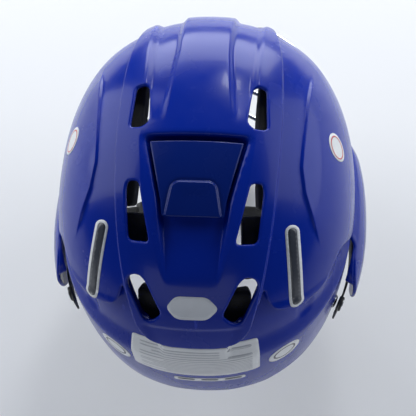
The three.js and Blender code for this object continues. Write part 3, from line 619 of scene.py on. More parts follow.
class Finish:
    """A procedural material built step by step on a Principled shader."""

    def __init__(self, name, colour, roughness, metallic=0.0, **settings):
        self.material = bpy.data.materials.new(name)
        self.material.use_nodes = True
        self.tree = self.material.node_tree
        self.shader = self.tree.nodes["Principled BSDF"]
        self.colour = colour
        self.shader.inputs["Base Color"].default_value = (*colour, 1)
        self.shader.inputs["Roughness"].default_value = roughness
        self.shader.inputs["Metallic"].default_value = metallic
        for socket, value in settings.items():
            self.shader.inputs[socket.replace("_", " ")].default_value = value
        self.place = self.add("ShaderNodeTexCoord")

    def add(self, kind, **values):
        """A node: lower-case names are its settings and capitalised names are its sockets."""
        node = self.tree.nodes.new(kind)
        for name, value in values.items():
            if name.islower():
                setattr(node, name, value)
            else:
                node.inputs[name.replace("_", " ")].default_value = value
        return node

    def link(self, start, end):
        self.tree.links.new(start, end)

    def noise(self, scale, detail=3, stretch=(1, 1, 1)):
        mapping = self.add("ShaderNodeMapping")
        mapping.inputs["Scale"].default_value = stretch
        self.link(self.place.outputs["Object"], mapping.inputs["Vector"])
        node = self.add("ShaderNodeTexNoise", Scale=scale, Detail=detail, Roughness=0.55)
        self.link(mapping.outputs["Vector"], node.inputs["Vector"])
        return node.outputs["Fac"]

    def cells(self, scale):
        """Distance to the nearest of many scattered points."""
        node = self.add("ShaderNodeTexVoronoi", Scale=scale)
        self.link(self.place.outputs["Object"], node.inputs["Vector"])
        return node.outputs["Distance"]

    def levels(self, value, low, high, out_low=0.0, out_high=1.0):
        node = self.add("ShaderNodeMapRange", From_Min=low, From_Max=high, To_Min=out_low, To_Max=out_high)
        self.link(value, node.inputs["Value"])
        return node.outputs["Result"]

    def combine(self, a, b, operation="MULTIPLY"):
        node = self.add("ShaderNodeMath", operation=operation)
        self.link(a, node.inputs[0])
        if isinstance(b, (int, float)):
            node.inputs[1].default_value = b
        else:
            self.link(b, node.inputs[1])
        return node.outputs[0]

    def tint(self, value, colour):
        """Mixes another colour in where value is 1."""
        node = self.add("ShaderNodeMix", data_type="RGBA")
        self.link(value, node.inputs["Factor"])
        base = self.shader.inputs["Base Color"]
        if base.is_linked:
            self.link(base.links[0].from_socket, node.inputs[6])
        else:
            node.inputs[6].default_value = (*self.colour, 1)
        node.inputs[7].default_value = (*colour, 1)
        self.link(node.outputs[2], base)
        return self

    def rough(self, value, low, high):
        self.link(self.levels(value, 0, 1, low, high), self.shader.inputs["Roughness"])
        return self

    def bump(self, value, distance, strength=1.0):
        """Adds relief, `distance` in millimetres."""
        node = self.add("ShaderNodeBump", Strength=strength, Distance=distance * MM)
        self.link(value, node.inputs["Height"])
        normal = self.shader.inputs["Normal"]
        if normal.is_linked:
            self.link(normal.links[0].from_socket, node.inputs["Normal"])
        self.link(node.outputs["Normal"], normal)
        return self


def gloss_plastic(name, colour, deep, coat=1.0):
    """Polished moulded plastic: slight flow in its colour, dust, hairline scratches, orange peel."""
    made = Finish(name, colour, 0.2, Coat_Weight=coat, Coat_Roughness=0.035, Coat_IOR=1.5,
                  Specular_IOR_Level=0.2)
    made.tint(made.levels(made.noise(9, 2), 0.42, 0.68, 0, 0.55), deep)
    scratches = made.levels(made.noise(150, 2, (1, 0.06, 0.4)), 0.66, 0.72)
    patches = made.levels(made.noise(14, 3), 0.5, 0.62)
    worn = made.combine(scratches, patches)
    speck = made.levels(made.cells(420), 0.09, 0.05)
    specks = made.combine(speck, made.levels(made.noise(26, 2), 0.52, 0.66))
    made.tint(made.combine(worn, 0.22), tuple(min(1, c * 2.2 + 0.05) for c in colour))
    made.tint(made.combine(specks, 0.12), (0.35, 0.38, 0.5))
    marks = made.combine(worn, specks, "MAXIMUM")
    made.rough(made.combine(marks, made.levels(made.noise(30, 4), 0.3, 0.7), "MAXIMUM"), 0.16, 0.3)
    made.bump(made.noise(95, 2), 0.02, 0.35)
    made.bump(made.combine(worn, -1.0), 0.01, 0.25)
    return made.material


def foam(name, colour, pore=900):
    """Closed-cell foam: fine pores, soft mottling and a dusty bloom."""
    made = Finish(name, colour, 0.85, Specular_IOR_Level=0.25, Sheen_Weight=0.25, Sheen_Roughness=0.6)
    made.tint(made.levels(made.noise(60, 4), 0.4, 0.7, 0, 0.7), tuple(c * 1.9 + 0.004 for c in colour))
    made.rough(made.noise(220, 3), 0.72, 0.98)
    made.bump(made.cells(pore), 0.25, 0.6)
    made.bump(made.noise(180, 4), 0.35, 0.4)
    return made.material


def matte_plastic(name, colour, grain=1400, roughness=0.42):
    """Fine spark-eroded texture, with lighter scuffs scattered by noise."""
    made = Finish(name, colour, roughness, Specular_IOR_Level=0.45)
    made.tint(made.levels(made.noise(45, 4), 0.5, 0.72, 0, 0.5), tuple(c * 2.4 + 0.01 for c in colour))
    made.rough(made.noise(120, 3), roughness - 0.1, roughness + 0.15)
    made.bump(made.noise(grain, 2), 0.06, 0.4)
    return made.material


def metal(name, colour, roughness, brushed):
    made = Finish(name, colour, roughness, 1.0)
    streaks = made.noise(260, 3, brushed)
    made.tint(made.levels(made.noise(70, 3), 0.5, 0.75, 0, 0.35), tuple(c * 0.62 for c in colour))
    made.rough(streaks, roughness * 0.6, roughness * 1.7)
    made.bump(streaks, 0.02, 0.25)
    return made.material


def webbing(name, colour):
    """Woven nylon on UVs in millimetres: ribs across the strap and a plain weave in them."""
    made = Finish(name, colour, 0.75, Specular_IOR_Level=0.3, Sheen_Weight=0.35, Sheen_Roughness=0.45)
    place = made.place.outputs["UV"]

    def wave(direction, scale):
        node = made.add("ShaderNodeTexWave", bands_direction=direction, Scale=scale, Distortion=0.35,
                        Detail_Scale=2)
        made.link(place, node.inputs["Vector"])
        return node.outputs["Fac"]

    across, along = wave("X", 0.28), wave("Y", 0.33)
    weave = made.combine(across, along)
    made.tint(made.levels(weave, 0.3, 0.9, 0, 0.85), tuple(c * 3 + 0.012 for c in colour))
    made.rough(weave, 0.6, 0.9)
    made.bump(weave, 0.35, 0.8)
    return made.material


def clear_plastic(name):
    made = Finish(name, (0.86, 0.93, 0.95), 0.06, IOR=1.5, Transmission_Weight=0.9)
    made.tint(made.levels(made.noise(30, 3), 0.45, 0.8, 0, 0.4), (0.7, 0.78, 0.8))
    made.rough(made.noise(60, 4), 0.03, 0.12)
    made.bump(made.noise(110, 2), 0.015, 0.3)
    return made.material


def paper(name, colour):
    """A laminated sticker: slight yellowing, scuffs and a fine film texture."""
    made = Finish(name, colour, 0.35, Coat_Weight=0.4, Coat_Roughness=0.12)
    made.tint(made.levels(made.noise(55, 3), 0.5, 0.75, 0, 0.4), tuple(c * 0.82 for c in colour))
    made.rough(made.noise(160, 3), 0.25, 0.5)
    made.bump(made.noise(700, 2), 0.02, 0.4)
    return made.material


BLUE = gloss_plastic("gloss_blue_plastic", (0.001, 0.022, 0.33), (0.001, 0.015, 0.24), 0.08)
# The lever's blue is a darker copy of the shell blue: painted shade for the dark reflection over the crown
# latch.
SHADED_LEVER_BLUE = gloss_plastic("lever_blue_plastic_painted_shade", (0.001, 0.015, 0.17), (0.001, 0.011, 0.13), 0.12)
BLACK_FOAM = foam("black_closed_cell_foam", (0.012, 0.012, 0.013))
PALE_FOAM = foam("comfort_foam", (0.03, 0.031, 0.035), 1300)
RUBBER = matte_plastic("moulded_rubber", (0.012, 0.012, 0.012), 900, 0.62)
BLACK_PLASTIC = matte_plastic("black_moulded_plastic", (0.012, 0.012, 0.013))
CLEAR = clear_plastic("clear_polycarbonate")
CHROME = metal("plated_wire", (0.72, 0.74, 0.77), 0.14, (1, 1, 0.2))
STEEL = metal("turned_steel", (0.6, 0.61, 0.64), 0.24, (0.3, 1, 1))
WEBBING = webbing("black_webbing", (0.012, 0.012, 0.013))
WHITE_STICKER = paper("white_sticker", (0.78, 0.79, 0.8))
GREY_PRINT = paper("grey_print", (0.5, 0.51, 0.54))
DARK_PRINT = paper("dark_print", (0.03, 0.035, 0.05))
RED_PRINT = paper("red_print", (0.55, 0.03, 0.04))
SILVER_PRINT = paper("silver_print", (0.62, 0.64, 0.68))

# ---- shells ----

FRONT_VENT = [[29, 9], [32, -21.5], [39.5, -21.5], [41, 12.5], [33, 13]]
MIDDLE_VENT = [[22.5, 87], [31, 52], [33, 50.5], [38, 50.5], [38.5, 56], [34.5, 87]]
REAR_VENT = [[15.5, 130], [24, 110], [28, 106], [33, 108], [34.5, 113], [25.5, 136], [21, 136]]
REAR_SHELL_VENT = [[13, 131], [22, 108], [28, 103], [35, 106], [37, 114], [28, 139], [19, 139]]
VENT_CORNER = 3.2
CLAMP_HOLE = [[-7, 41], [7, 41], [7, 58], [-7, 58]]
LAND_SIZE, LAND_CENTRE = (14, 16, 18), (30, -116, 22)
EAR_SIZE, EAR_CENTRE = (3, 4.4, 6.4), (12.3, PIN_Y + 0.5, PIN_Z - 1.4)
ARM_LIP_FRONT_Y, ARM_LIP_LENGTH, ARM_LIP_DROP = -48, 102.2, 13
ARM_LIP_LOW, ARM_LIP_TOP_Z, ARM_LIP_UNDER_Z = 1.8, -0.3, -2.4


def front_outline():
    """Half of the front shell's edge, from the middle of its tail round to the middle of the brow."""
    tail = [[0, 157.5], [14, 157.5], [20, 155.5], [26, 150], [31, 141], [34.6, 131], [37.4, 121], [38.6, 117]]
    crest = [[40.5, 126], [44, 133.5], [52, 136.8], [64, 137.6], [75, 136.6], [84, 131.5], [91, 124.5],
             [98, 117], [104, 114], [113, 118], [124.4, 128.2], [135, 139], [144.6, 151.4], [151, 160]]
    slit = [[12, SLIT_TOP_Z], [-58, SLIT_TOP_Z], [-58, 0.2]]
    arm = [[33, 0], [44, -2.5], [52, -9], [55, -20], [53, -33], [46, -43], [35, -47.5], [-30, -48],
           [-48, -45], [-60, -42], [-72, -36], [-82, -24], [-91, -8], [-101, 8], [-112, 14]]
    brow = [[30, 15], [15, 15.5], [0, 15.5]]
    parts = [(tail + crest, "chart"), (slit + arm, "side"), (brow, "front")]
    return np.vstack([arc_points(points, kind) for points, kind in parts])


def front_lines():
    """Lines along the front shell's steps, so that its mesh follows them."""
    made = []
    q = np.arange(-150, 160, 1.7)

    def add(p, along):
        strip = map_of(chart_direction(np.stack([p, along], -1)))
        made.extend([strip, mirrored(strip)])

    for off in np.arange(-3.3, 1.0, 0.5):
        add(band_half_width(q) + off, q)
    ahead = q[q < 16]
    for off in np.arange(-0.5, 5.5, 0.8):
        add(channel_inner_edge(ahead) + off, ahead)
    for p in np.arange(29, 35.5, 0.8):
        add(np.full_like(ahead, p), ahead)
    beside = q[(q > -75) & (q < 100)]
    for off in np.arange(-1.6, 1.2, 0.45):
        add(side_crease(beside) + off, beside)
    ring = q[(q > 18) & (q < 114)]
    for off in (-0.8, -0.3, 0.3, 0.9):
        add(shoulder_half_width(ring) - off, ring)
    for row in np.arange(137, 142.3, 0.8):
        across = np.arange(0, 26, 1.6)
        add(across, np.full_like(across, row))
    crest_p = np.arange(40, 92, 1.7)
    for off in np.arange(-1, 7, 0.9):
        add(crest_p, 128.5 + off - 0.0021 * (crest_p - 64) ** 2)
    walls = np.arange(RECESS_FRONT_Q + 4, RECESS_REAR_Q, 1.5)
    for off in np.arange(-0.2, 1.8, 0.3):
        add(recess_half_width(walls) - off, walls)
        sweep = np.linspace(0, np.pi / 2, 6)
        corner_p = recess_half_width(np.array(RECESS_FRONT_Q)) - 4 + (4 - off) * np.sin(sweep)
        add(corner_p, RECESS_FRONT_Q + 4 - (4 - off) * np.cos(sweep))
        across = np.arange(0, 26.5, 1.5)
        add(across, np.full_like(across, RECESS_FRONT_Q + off))
    return made


def front_shell():
    shapes = (FRONT_VENT, MIDDLE_VENT, REAR_VENT)
    vents = [rounded(arc_points(vent, "chart"), VENT_CORNER, 0.9) for vent in shapes]
    clamp_hole = rounded(arc_points(CLAMP_HOLE, "chart"), 1.5)
    loops = [rounded(both_halves(front_outline()), 5), *vents, *map(mirrored, vents), clamp_hole]
    top = lambda flat: front_height(map_direction(flat))
    bottom = lambda flat: front_height(map_direction(flat), RECESS_WALL) - FRONT_WALL
    shell = sheet_solid("front_shell_skin", loops, on_map, top, bottom, BLUE, 2.3, front_lines())
    return finish_piece(shell, "front", ["front_shell"])


def rear_outline():
    tongue = [[0, 30], [17, 30], [17, 86], [23, 96], [50, 96], [66, 84], [70, 40], [68, -10], [80, -34]]
    wing = [[-38, 20], [-38, -6], [14, -7], [24, -9], [31, -16], [42, -38], [60, -51]]
    hem = [[70, -54.5], [45, -56.5], [20, -57], [0, -57]]
    parts = [(tongue, "chart"), (wing, "side"), (hem, "rear")]
    return np.vstack([arc_points(points, kind) for points, kind in parts])


def rear_lines():
    made = []
    for q in np.arange(TAIL_Q + 2, TAIL_Q + 21, 1.5):
        p = np.arange(0, 130, 2)
        strip = map_of(chart_direction(np.stack([p, np.full_like(p, q, float)], -1)))
        made.extend([strip, mirrored(strip)])
    return made


def rear_shell():
    vent = rounded(arc_points(REAR_SHELL_VENT, "chart"), 3)
    loops = [rounded(both_halves(rear_outline()), 5), vent, mirrored(vent)]
    top = lambda flat: rear_height(map_direction(flat))
    shell = sheet_solid("rear_shell_skin", loops, on_map, top, lambda flat: top(flat) - REAR_WALL, BLUE, 2.6,
                        rear_lines())
    return finish_piece(shell, "rear", ["rear_shell"])


def brow_lands():
    """Flat lands for the brow clips, on the front shell."""
    x, y, z = LAND_CENTRE
    blocks = [placed_block(LAND_SIZE, 1.2, 1.2, (x * side, y, z)) for side, word in SIDES]
    return finish_piece(add_object("brow_lands", *joined(blocks), BLUE), "front")


def arm_lips():
    """The upper edges of the side arms turn in towards the shell."""
    for side, word in SIDES:
        def point_at(s, t, face, side=side):
            y = ARM_LIP_FRONT_Y + ARM_LIP_LENGTH * s
            cut = np.maximum(0, ((y + 80) / 135 - 0.86) / 0.14)
            sunk = ARM_LIP_DROP * (1 - np.sqrt(np.maximum(0, 1 - cut ** 2)))
            z = (ARM_LIP_TOP_Z if face else ARM_LIP_UNDER_Z) - sunk
            direction = side_direction(np.stack([y, z], -1))
            height = ARM_LIP_LOW + (np.maximum(arm_standoff(direction) - 1.2, 2.6) - ARM_LIP_LOW) * t
            out = t * (height.max() - ARM_LIP_LOW)
            round_off = 0.7 * (1 - line(out, 0, 1.2)) * (1 if face else -1)
            return on_side(np.stack([y, z - round_off], -1), height) * [side, 1, 1]

        lip = grid_solid("arm_lip" + word, 90, 6, point_at, BLUE)
        finish_piece(lip, "front")


def latch_ears():
    """The two ears that hold the latch pin."""
    x, y, z = EAR_CENTRE
    ears = [placed_block(EAR_SIZE, 0.9, 0.5, (x * side, y, z)) for side, word in SIDES]
    return finish_piece(add_object("latch_ears", *joined(ears), BLUE), "front")


# ---- latch ----

THUMB_FRONT_Q, THUMB_CORNER = 50, 4.5
CLAMP_Q, STRIP_Q, RIB_START_Q, RIB_PITCH = 48, 48.5, 36.75, 3
CLAMP_HEIGHT, CLAMP_PAD_HEIGHT, STRIP_HEIGHT, RIB_HEIGHT = -5.25, -10.03, -11.55, -11.15


def lever_half_width(q):
    return np.maximum(recess_half_width(q) - LEVER_GAP, 16.5)


def lever_top(chart):
    """The lever's upper face, with its raised thumb pad."""
    p, q = np.abs(chart[..., 0]), chart[..., 1]
    half = thumb_half_width(q)
    a, b = half - p, q - THUMB_FRONT_Q
    near = THUMB_CORNER - np.hypot(np.minimum(a - THUMB_CORNER, 0), np.minimum(b - THUMB_CORNER, 0))
    inside = np.where((a < THUMB_CORNER) & (b < THUMB_CORNER), near, np.minimum(a, b))
    pad = ramp(inside, 0, 1.3)
    groove = np.exp(-((inside + 0.5) / 0.7) ** 2)
    dish = np.clip(inside, 0, 9) / 9
    return LEVER_TOP + 1.1 * pad - 0.35 * groove - 0.45 * dish * dish


def thumb_half_width(q):
    return 12 + 3.4 * line(q, THUMB_FRONT_Q, 71) ** 0.8


def latch_lever():
    q = np.linspace(LEVER_FRONT_Q, LEVER_REAR_Q, 30)
    half = [[0, LEVER_FRONT_Q], *np.stack([lever_half_width(q), q], -1), [0, LEVER_REAR_Q]]
    outline = rounded(both_halves(half), 3, 0.9)
    lines = []
    rows = np.arange(THUMB_FRONT_Q + THUMB_CORNER, 71.2, 0.9)
    for off in np.arange(-1.4, 1.9, 0.33):
        p = thumb_half_width(rows) - off
        sweep = np.linspace(0, np.pi / 2, 8)
        corner = thumb_half_width(np.array(THUMB_FRONT_Q + 2.0)) - THUMB_CORNER
        reach = THUMB_CORNER - off
        corner_p = corner + reach * np.sin(sweep)
        corner_q = THUMB_FRONT_Q + THUMB_CORNER - reach * np.cos(sweep)
        across = np.arange(0, corner - 0.3, 0.9)
        for side in (1, -1):
            lines.append(np.stack([side * p, rows], -1))
            lines.append(np.stack([side * corner_p, corner_q], -1))
            lines.append(np.stack([side * across, np.full_like(across, THUMB_FRONT_Q + off)], -1))
    # Plate and barrels take the darker copy of the shell blue, which is painted shade.
    plate = sheet_solid("latch_lever_plate", [outline], on_chart, lever_top,
                        lambda chart: np.full(len(chart), LEVER_TOP - 2.0), SHADED_LEVER_BLUE, 1.6, lines)
    finish_piece(plate, "lever", ["latch_lever"])
    barrels = []
    for start in (3.6, -10.2):
        profile = [(0, 1.5), (0, 2.0), (0.25, 2.25), (6.35, 2.25), (6.6, 2.0), (6.6, 1.5)]
        barrels.append(turned(profile, (start, PIN_Y, PIN_Z), (1, 0, 0), 28))
        barrels.append(placed_block((6.4, 3.4, 3.0), 0.5, 0.6, (start + 3.3, PIN_Y, PIN_Z + 1.7)))
    return finish_piece(add_object("lever_barrels", *joined(barrels), SHADED_LEVER_BLUE), "lever")


def latch_pin():
    profile = [(0, 0.7), (0.3, 1.1), (27.5, 1.1), (27.8, 0.7)]
    pin = add_object("hinge_pin", *turned(profile, (-13.9, PIN_Y, PIN_Z), (1, 0, 0), 24), STEEL)
    return finish_piece(pin, "front", ["latch_pin"])


def clamp_parts():
    block = chart_block((12, 10, 7.9), 0.8, 0.7, CLAMP_Q, CLAMP_HEIGHT)
    finish_piece(add_object("clamp_body", *block, BLACK_PLASTIC), "lever", ["clamp_block"])
    pad = chart_block((11, 9.2, 0.95), 0.4, 0.5, CLAMP_Q, CLAMP_PAD_HEIGHT)
    finish_piece(add_object("clamp_rubber", *pad, RUBBER), "lever", ["clamp_pad"])
    strip = [chart_block((12, 29, 0.7), 0.3, 0.8, STRIP_Q, STRIP_HEIGHT)]
    for i in range(9):
        strip.append(chart_block((10, 1.5, 0.5), 0.22, 0.4, RIB_START_Q + RIB_PITCH * i, RIB_HEIGHT))
    ribbed = add_object("ribbed_strip", *joined(strip), BLACK_PLASTIC)
    finish_piece(ribbed, "rear", ["size_strip"])


# ---- liner ----

def liner_pad(node, across, along, low, high, body, slot="black_foam", channels=(0, 0), radius=2.6, side=0):
    """A die-cut foam pad on the chart: rounded edges, a crowned inner face and sewn-in channels."""
    size = (across[1] - across[0], along[1] - along[0], high - low)
    middle = (sum(across) / 2, sum(along) / 2, (low + high) / 2)
    mirror = -1 if side < 0 else 1

    def shape(points):
        x, y, z = points.T
        inner = line(-z, 0, size[2] / 2)
        crown = (1 - (2 * x / size[0]) ** 2) * (1 - (2 * y / size[1]) ** 2)
        lowered = 0.9 * inner * (1 - np.maximum(crown, 0))
        for count, value, extent in ((channels[0], x, size[0]), (channels[1], y, size[1])):
            for k in range(count):
                at = extent * ((k + 1) / (count + 1) - 0.5)
                lowered = np.maximum(lowered, 2.2 * inner * np.exp(-((value - at) / 1.1) ** 2))
        ripple = 0.12 * np.sin(x * 1.7 + y * 0.9) * np.sin(y * 1.3 - x * 0.4)
        height = z + middle[2] + lowered + ripple * inner
        chart = np.stack([mirror * (x + middle[0]), y + middle[1]], -1)
        return on_chart(chart, height)

    spacing = 1.3 if min(size[:2]) < 30 else 1.7
    vertices, faces = rounded_block((size[0] - 0.3, size[1] - 0.3, size[2] - 0.2), radius, spacing, shape)
    material = PALE_FOAM if slot == "comfort_foam" else BLACK_FOAM
    pad = add_object(node + "_foam", vertices, faces, material)
    return finish_piece(pad, body, [node])


def liner():
    liner_pad("forehead_liner", (-46, 46), (-162, -112), -18, -6.4, "front", channels=(3, 1))
    liner_pad("brow_comfort_band", (-44, 44), (-160, -136), -22, -18.8, "front", "comfort_foam", (5, 0), 1.4)
    pairs = [
        ("crown_liner", (4, 27), (-104, 14), -17, -6.2, "front", (0, 4)),
        ("front_side_liner", (46, 94), (-108, -81), -18, -6.8, "front", (2, 0)),
        # Real liner pad, but its inner edge (p 38 to 45) is widened under the front vent: black foam standing
        # in for the shade inside the vent.
        ("crown_side_liner", (38, 60), (-44, 68), -17, -6.4, "front", (0, 5)),
        ("crown_rear_liner", (28.5, 46), (72, 115), -18, -10.4, "front", (0, 2)),
        ("side_liner", (76, 112), (-20, 94), -21, -10.6, "rear", (1, 4)),
        ("rear_side_liner", (46, 94), (142, 188), -20, -10.8, "rear", (2, 1)),
    ]
    for name, across, along, low, high, body, channels in pairs:
        for side, word in SIDES:
            liner_pad(name + word, across, along, low, high, body, channels=channels, side=side)
    liner_pad("rear_liner", (-34, 34), (124, 162), -21, -10.4, "rear", channels=(2, 0))
    thin = chart_block((52, 25, 5), 1.8, 1.6, 113.5, -18.6)
    finish_piece(add_object("rear_liner_tongue_foam", *thin, BLACK_FOAM), "rear")
    liner_pad("nape_pad", (-40, 40), (180, 210), -17, -5.6, "rear", "comfort_foam", (4, 0), 3)
    bumper = chart_block((30, 11, 2.3), 1.0, 0.7, -165.5, 3.25)
    finish_piece(add_object("brow_bumper_pad", *bumper, RUBBER), "front", ["brow_bumper"])


# ---- ear guards ----

def ear_guard(side, word):
    y = np.linspace(-64, 26, 40)
    belly = np.sin(np.pi * line(y, -80, 36)) ** 0.6
    lower = np.stack([y, -18 - 54 * belly], -1)
    upper = np.stack([y[::-1], np.full_like(y, -15)], -1)
    outline = rounded(np.vstack([lower, upper]), 2, 1.4)
    angle = np.linspace(0, 2 * np.pi, 40, endpoint=False)
    port = np.stack([-14 + 8 * np.cos(angle), -44 + 8 * np.sin(angle)], -1)
    screw = np.stack([-60 + 2.2 * np.cos(angle[::2]), -30 + 2.2 * np.sin(angle[::2])], -1)
    place = lambda flat, height: on_side(flat, height) * [side, 1, 1]
    level = lambda value: (lambda flat: np.full(len(flat), value))
    loops = [outline, port, screw]
    guard = sheet_solid("ear_guard_shell" + word, loops, place, level(-5.0), level(-7.0), CLEAR, 2.2)
    return finish_piece(guard, "front", ["ear_guard" + word])


# ---- cage ----

def cage_point(degrees, z):
    depth_loss = (0.0039 if z > -60 else 0.0064) * (z + 60) ** 2
    width_loss = 0.005 * min(z + 30, 0) ** 2
    angle = math.radians(degrees)
    return np.array([(108 - width_loss) * math.sin(angle), -(157 - depth_loss) * math.cos(angle), z])


CAGE_RIM = [
    (-3, HINGE_Y, HINGE_Z), (20, HINGE_Y, HINGE_Z), (38, HINGE_Y, HINGE_Z), (48, HINGE_Y + 5, HINGE_Z),
    (66, -113, 14), (83, -92, 5), (88, -84, -6), (88, -84, -20), (91, -77, -40), (92, -70, -60),
    (87, -67, -82), (75, -73, -106), (54, -92, -127), (28, -111, -137), (-3, -117, -138),
]
CROSS_HEIGHTS = [-8, -32, -56, -80, -103, -122]


def weld(point, size):
    """A small bead where two wires are welded."""
    ball = bmesh.new()
    bmesh.ops.create_icosphere(ball, subdivisions=2, radius=size)
    vertices = np.array([v.co for v in ball.verts]) * [1.25, 0.9, 1.0] + point
    faces = [tuple(v.index for v in f.verts) for f in ball.faces]
    ball.free()
    return vertices, faces


def cage():
    rim = smooth_path(CAGE_RIM, 14)
    rim = rim[rim[:, 0] >= 0]
    whole = np.vstack([rim * [-1, 1, 1], rim[::-1]])
    sides = rim[rim[:, 0] > 40]
    upper, lower = rim[rim[:, 2] > 0], rim[rim[:, 2] < -90]
    wires = [tube_mesh(resampled(np.vstack([whole, whole[:1]]), 3), RIM_WIRE_RADIUS, 16)]
    beads = []
    for z in CROSS_HEIGHTS:
        end = sides[np.argmin(np.abs(sides[:, 2] - z))]
        reach = math.degrees(math.asin(end[0] / cage_point(90, z)[0]))
        miss = end[1] - cage_point(reach, z)[1]
        parts = [-1, -0.84, -0.62, -0.4, -0.2, 0, 0.2, 0.4, 0.62, 0.84, 1]
        path = [cage_point(part * reach, z) + [0, miss * part ** 4, 0] for part in parts]
        wires.append(tube_mesh(resampled(smooth_path(path), 3), WIRE_RADIUS))
        beads += [weld(end, 3.0), weld(end * [-1, 1, 1], 3.0)]
    for degrees, top_x, bottom_x in ((9.5, 18, 14), (27, 48, 40), (44, 70, 66)):
        top = upper[np.argmin(np.abs(upper[:, 0] - top_x))]
        bottom = lower[np.argmin(np.abs(lower[:, 0] - bottom_x))]
        heights = [z for z in CROSS_HEIGHTS if z > bottom[2] + 8]
        path = resampled(smooth_path([top, *(cage_point(degrees, z) for z in heights), bottom]), 3)
        for side in (1, -1):
            wires.append(tube_mesh(path * [side, 1, 1], WIRE_RADIUS))
            crossings = [cage_point(degrees, z) for z in heights]
            beads += [weld(point * [side, 1, 1], 2.5) for point in [top, bottom, *crossings]]
    made = add_object("face_cage_wires", *joined(wires + beads), CHROME)
    return finish_piece(made, "cage", ["cage_wire"])


def chin_parts():
    cup = moulded("chin_cup_shell", "chin_cup", 0.8, 6, BLACK_PLASTIC)
    finish_piece(cup, "cage", ["chin_cup"])
    pad = moulded("chin_cup_foam", "chin_cup_pad", 1.0, 14, PALE_FOAM)
    finish_piece(pad, "cage", ["chin_cup_pad"])
    for side, word in SIDES:
        for kind in ("brow_clip", "side_hook"):
            holder = moulded(kind + "_body" + word, kind + word, 0.4, 3, BLACK_PLASTIC)
            finish_piece(holder, "front", [kind + word])
    buckle = moulded("chin_buckle_body", "chin_buckle", 0.5, 5, BLACK_PLASTIC)
    finish_piece(buckle, "front", ["chin_buckle"])


# ---- screws and snaps ----

def side_axis(y, z, standoff):
    """A point and outward normal on the side wall, as in the CAD part."""
    at = lambda dy, dz: on_side(np.array([y + dy, z + dz], float), np.array(float(standoff)))
    back, up = at(1, 0) - at(-1, 0), at(0, 1) - at(0, -1)
    return at(0, 0), unit(np.cross(back, up))


BROW_AXIS = (np.array([30.0, -124.0, 26.0]), np.array([0.0, -1.0, 0.0]))
HOOK_AXIS = side_axis(-71, -13, 0)
EAR_AXIS = side_axis(-60, -30, 3.6)
STUD_AXIS = side_axis(66, -24, REAR_OUTER_OFFSET)


def screw_profile(seat, under, head):
    """A pan-head screw with a round driver recess, its shank and a chamfered nut."""
    top = seat + 2.1
    return [(top - 1.3, 0.6), (top - 1.3, 1.3), (top - 0.1, 1.45), (top, 1.7), (top - 0.2, head * 0.72),
            (top - 0.9, head * 0.95), (top - 1.3, head), (seat + 0.3, head), (seat + 0.3, 1.8),
            (under - 0.4, 1.8), (under - 0.4, head - 0.3), (under - 0.6, head), (under - 2.2, head),
            (under - 2.5, head - 0.4), (under - 2.5, 0.6)]


def screws():
    kinds = [("brow_clip_screw", BROW_AXIS, 3.3, -10.5, 3.6), ("side_hook_screw", HOOK_AXIS, 3.9, -4.5, 3.2),
             ("ear_guard_screw", EAR_AXIS, 1.3, -11.2, 3.6), ("snap_stud", STUD_AXIS, -0.3, -4.0, 4.6)]
    for name, (base, axis), seat, under, head in kinds:
        for side, word in SIDES:
            flip = np.array([side, 1, 1])
            shape = turned(screw_profile(seat, under, head), base * flip, axis * flip, 36)
            body = "rear" if name == "snap_stud" else "front"
            screw = add_object(name + "_turned" + word, *shape, STEEL)
            finish_piece(screw, body, [name + word])


def snap_caps():
    profile = [(2.9, 3.6), (2.9, 4.9), (3.2, 5.2), (5.6, 5.2), (6.1, 4.9), (6.25, 4.3), (5.9, 3.9),
               (5.85, 2.6), (6.35, 2.0), (6.5, 0.8)]
    ring = [(5.95, 4.25), (6.3, 4.35), (6.58, 4.1), (6.55, 3.7), (6.1, 3.55), (5.9, 3.8)]
    base, axis = STUD_AXIS
    for side, word in SIDES:
        flip = np.array([side, 1, 1])
        cap = add_object("snap_button" + word, *turned(profile, base * flip, axis * flip, 48), BLACK_PLASTIC)
        finish_piece(cap, "cage", ["snap_cap" + word])
        trim = add_object("snap_ring" + word, *turned(ring, base * flip, axis * flip, 48), STEEL)
        finish_piece(trim, "cage")


# ---- straps ----

CAGE_STRAP_FRONT_Y, CAGE_STRAP_REACH = -64.5, 137.5


def strap_thickness(t, thickness, width):
    """Half the thickness over the width, thinner at the woven edges."""
    edge = np.minimum(t, 1 - t) * width
    return thickness / 2 * (0.45 + 0.55 * line(edge, 0, 1.1))


def cage_strap(side, word):
    def point_at(s, t, face):
        y = CAGE_STRAP_FRONT_Y + CAGE_STRAP_REACH * s
        z = -68 + 44 * ramp(s, -0.15, 1.1) + 14 * (0.5 - t)
        half = strap_thickness(t, 1.5, 14)
        height = 2.5 + 0.4 * np.sin(np.pi * s) + 0.75 + (half if face else -half)
        points = on_side(np.stack([y, z], -1), height)
        return points * [side, 1, 1]

    band = grid_solid("cage_webbing" + word, 110, 10, point_at, WEBBING, (145, 14))
    finish_piece(band, "cage", ["cage_strap" + word])
    rim = smooth_path(CAGE_RIM, 14)
    near = rim[rim[:, 0] > 40]
    top = near[np.argmin(np.abs(near[:, 2] + 61))]
    bottom = near[np.argmin(np.abs(near[:, 2] + 75))]
    along = bottom - top

    def loop_at(s, t, face):
        angle = 2 * np.pi * (s * 0.985 + 0.02)
        axis = unit(along)
        u = unit(np.cross(axis, [0, 0.2, 1.0]))
        v = np.cross(axis, u)
        half = strap_thickness(t, 1.4, 14)
        radius = 4.2 + (half if face else -half)
        ring = np.cos(angle)[..., None] * u + np.sin(angle)[..., None] * v
        points = top + along * t[..., None] + ring * radius[..., None]
        return points * [side, 1, 1]

    loop = grid_solid("cage_webbing_loop" + word, 48, 10, loop_at, WEBBING, (26, 14))
    finish_piece(loop, "cage")


CHIN_PATH = smooth_path([(94.5, -22, -62), (93, -26, -78), (84, -36, -102), (64, -52, -126),
                         (34, -64, -145), (0, -68, -151)], 30)
CHIN_WIDTH = 15


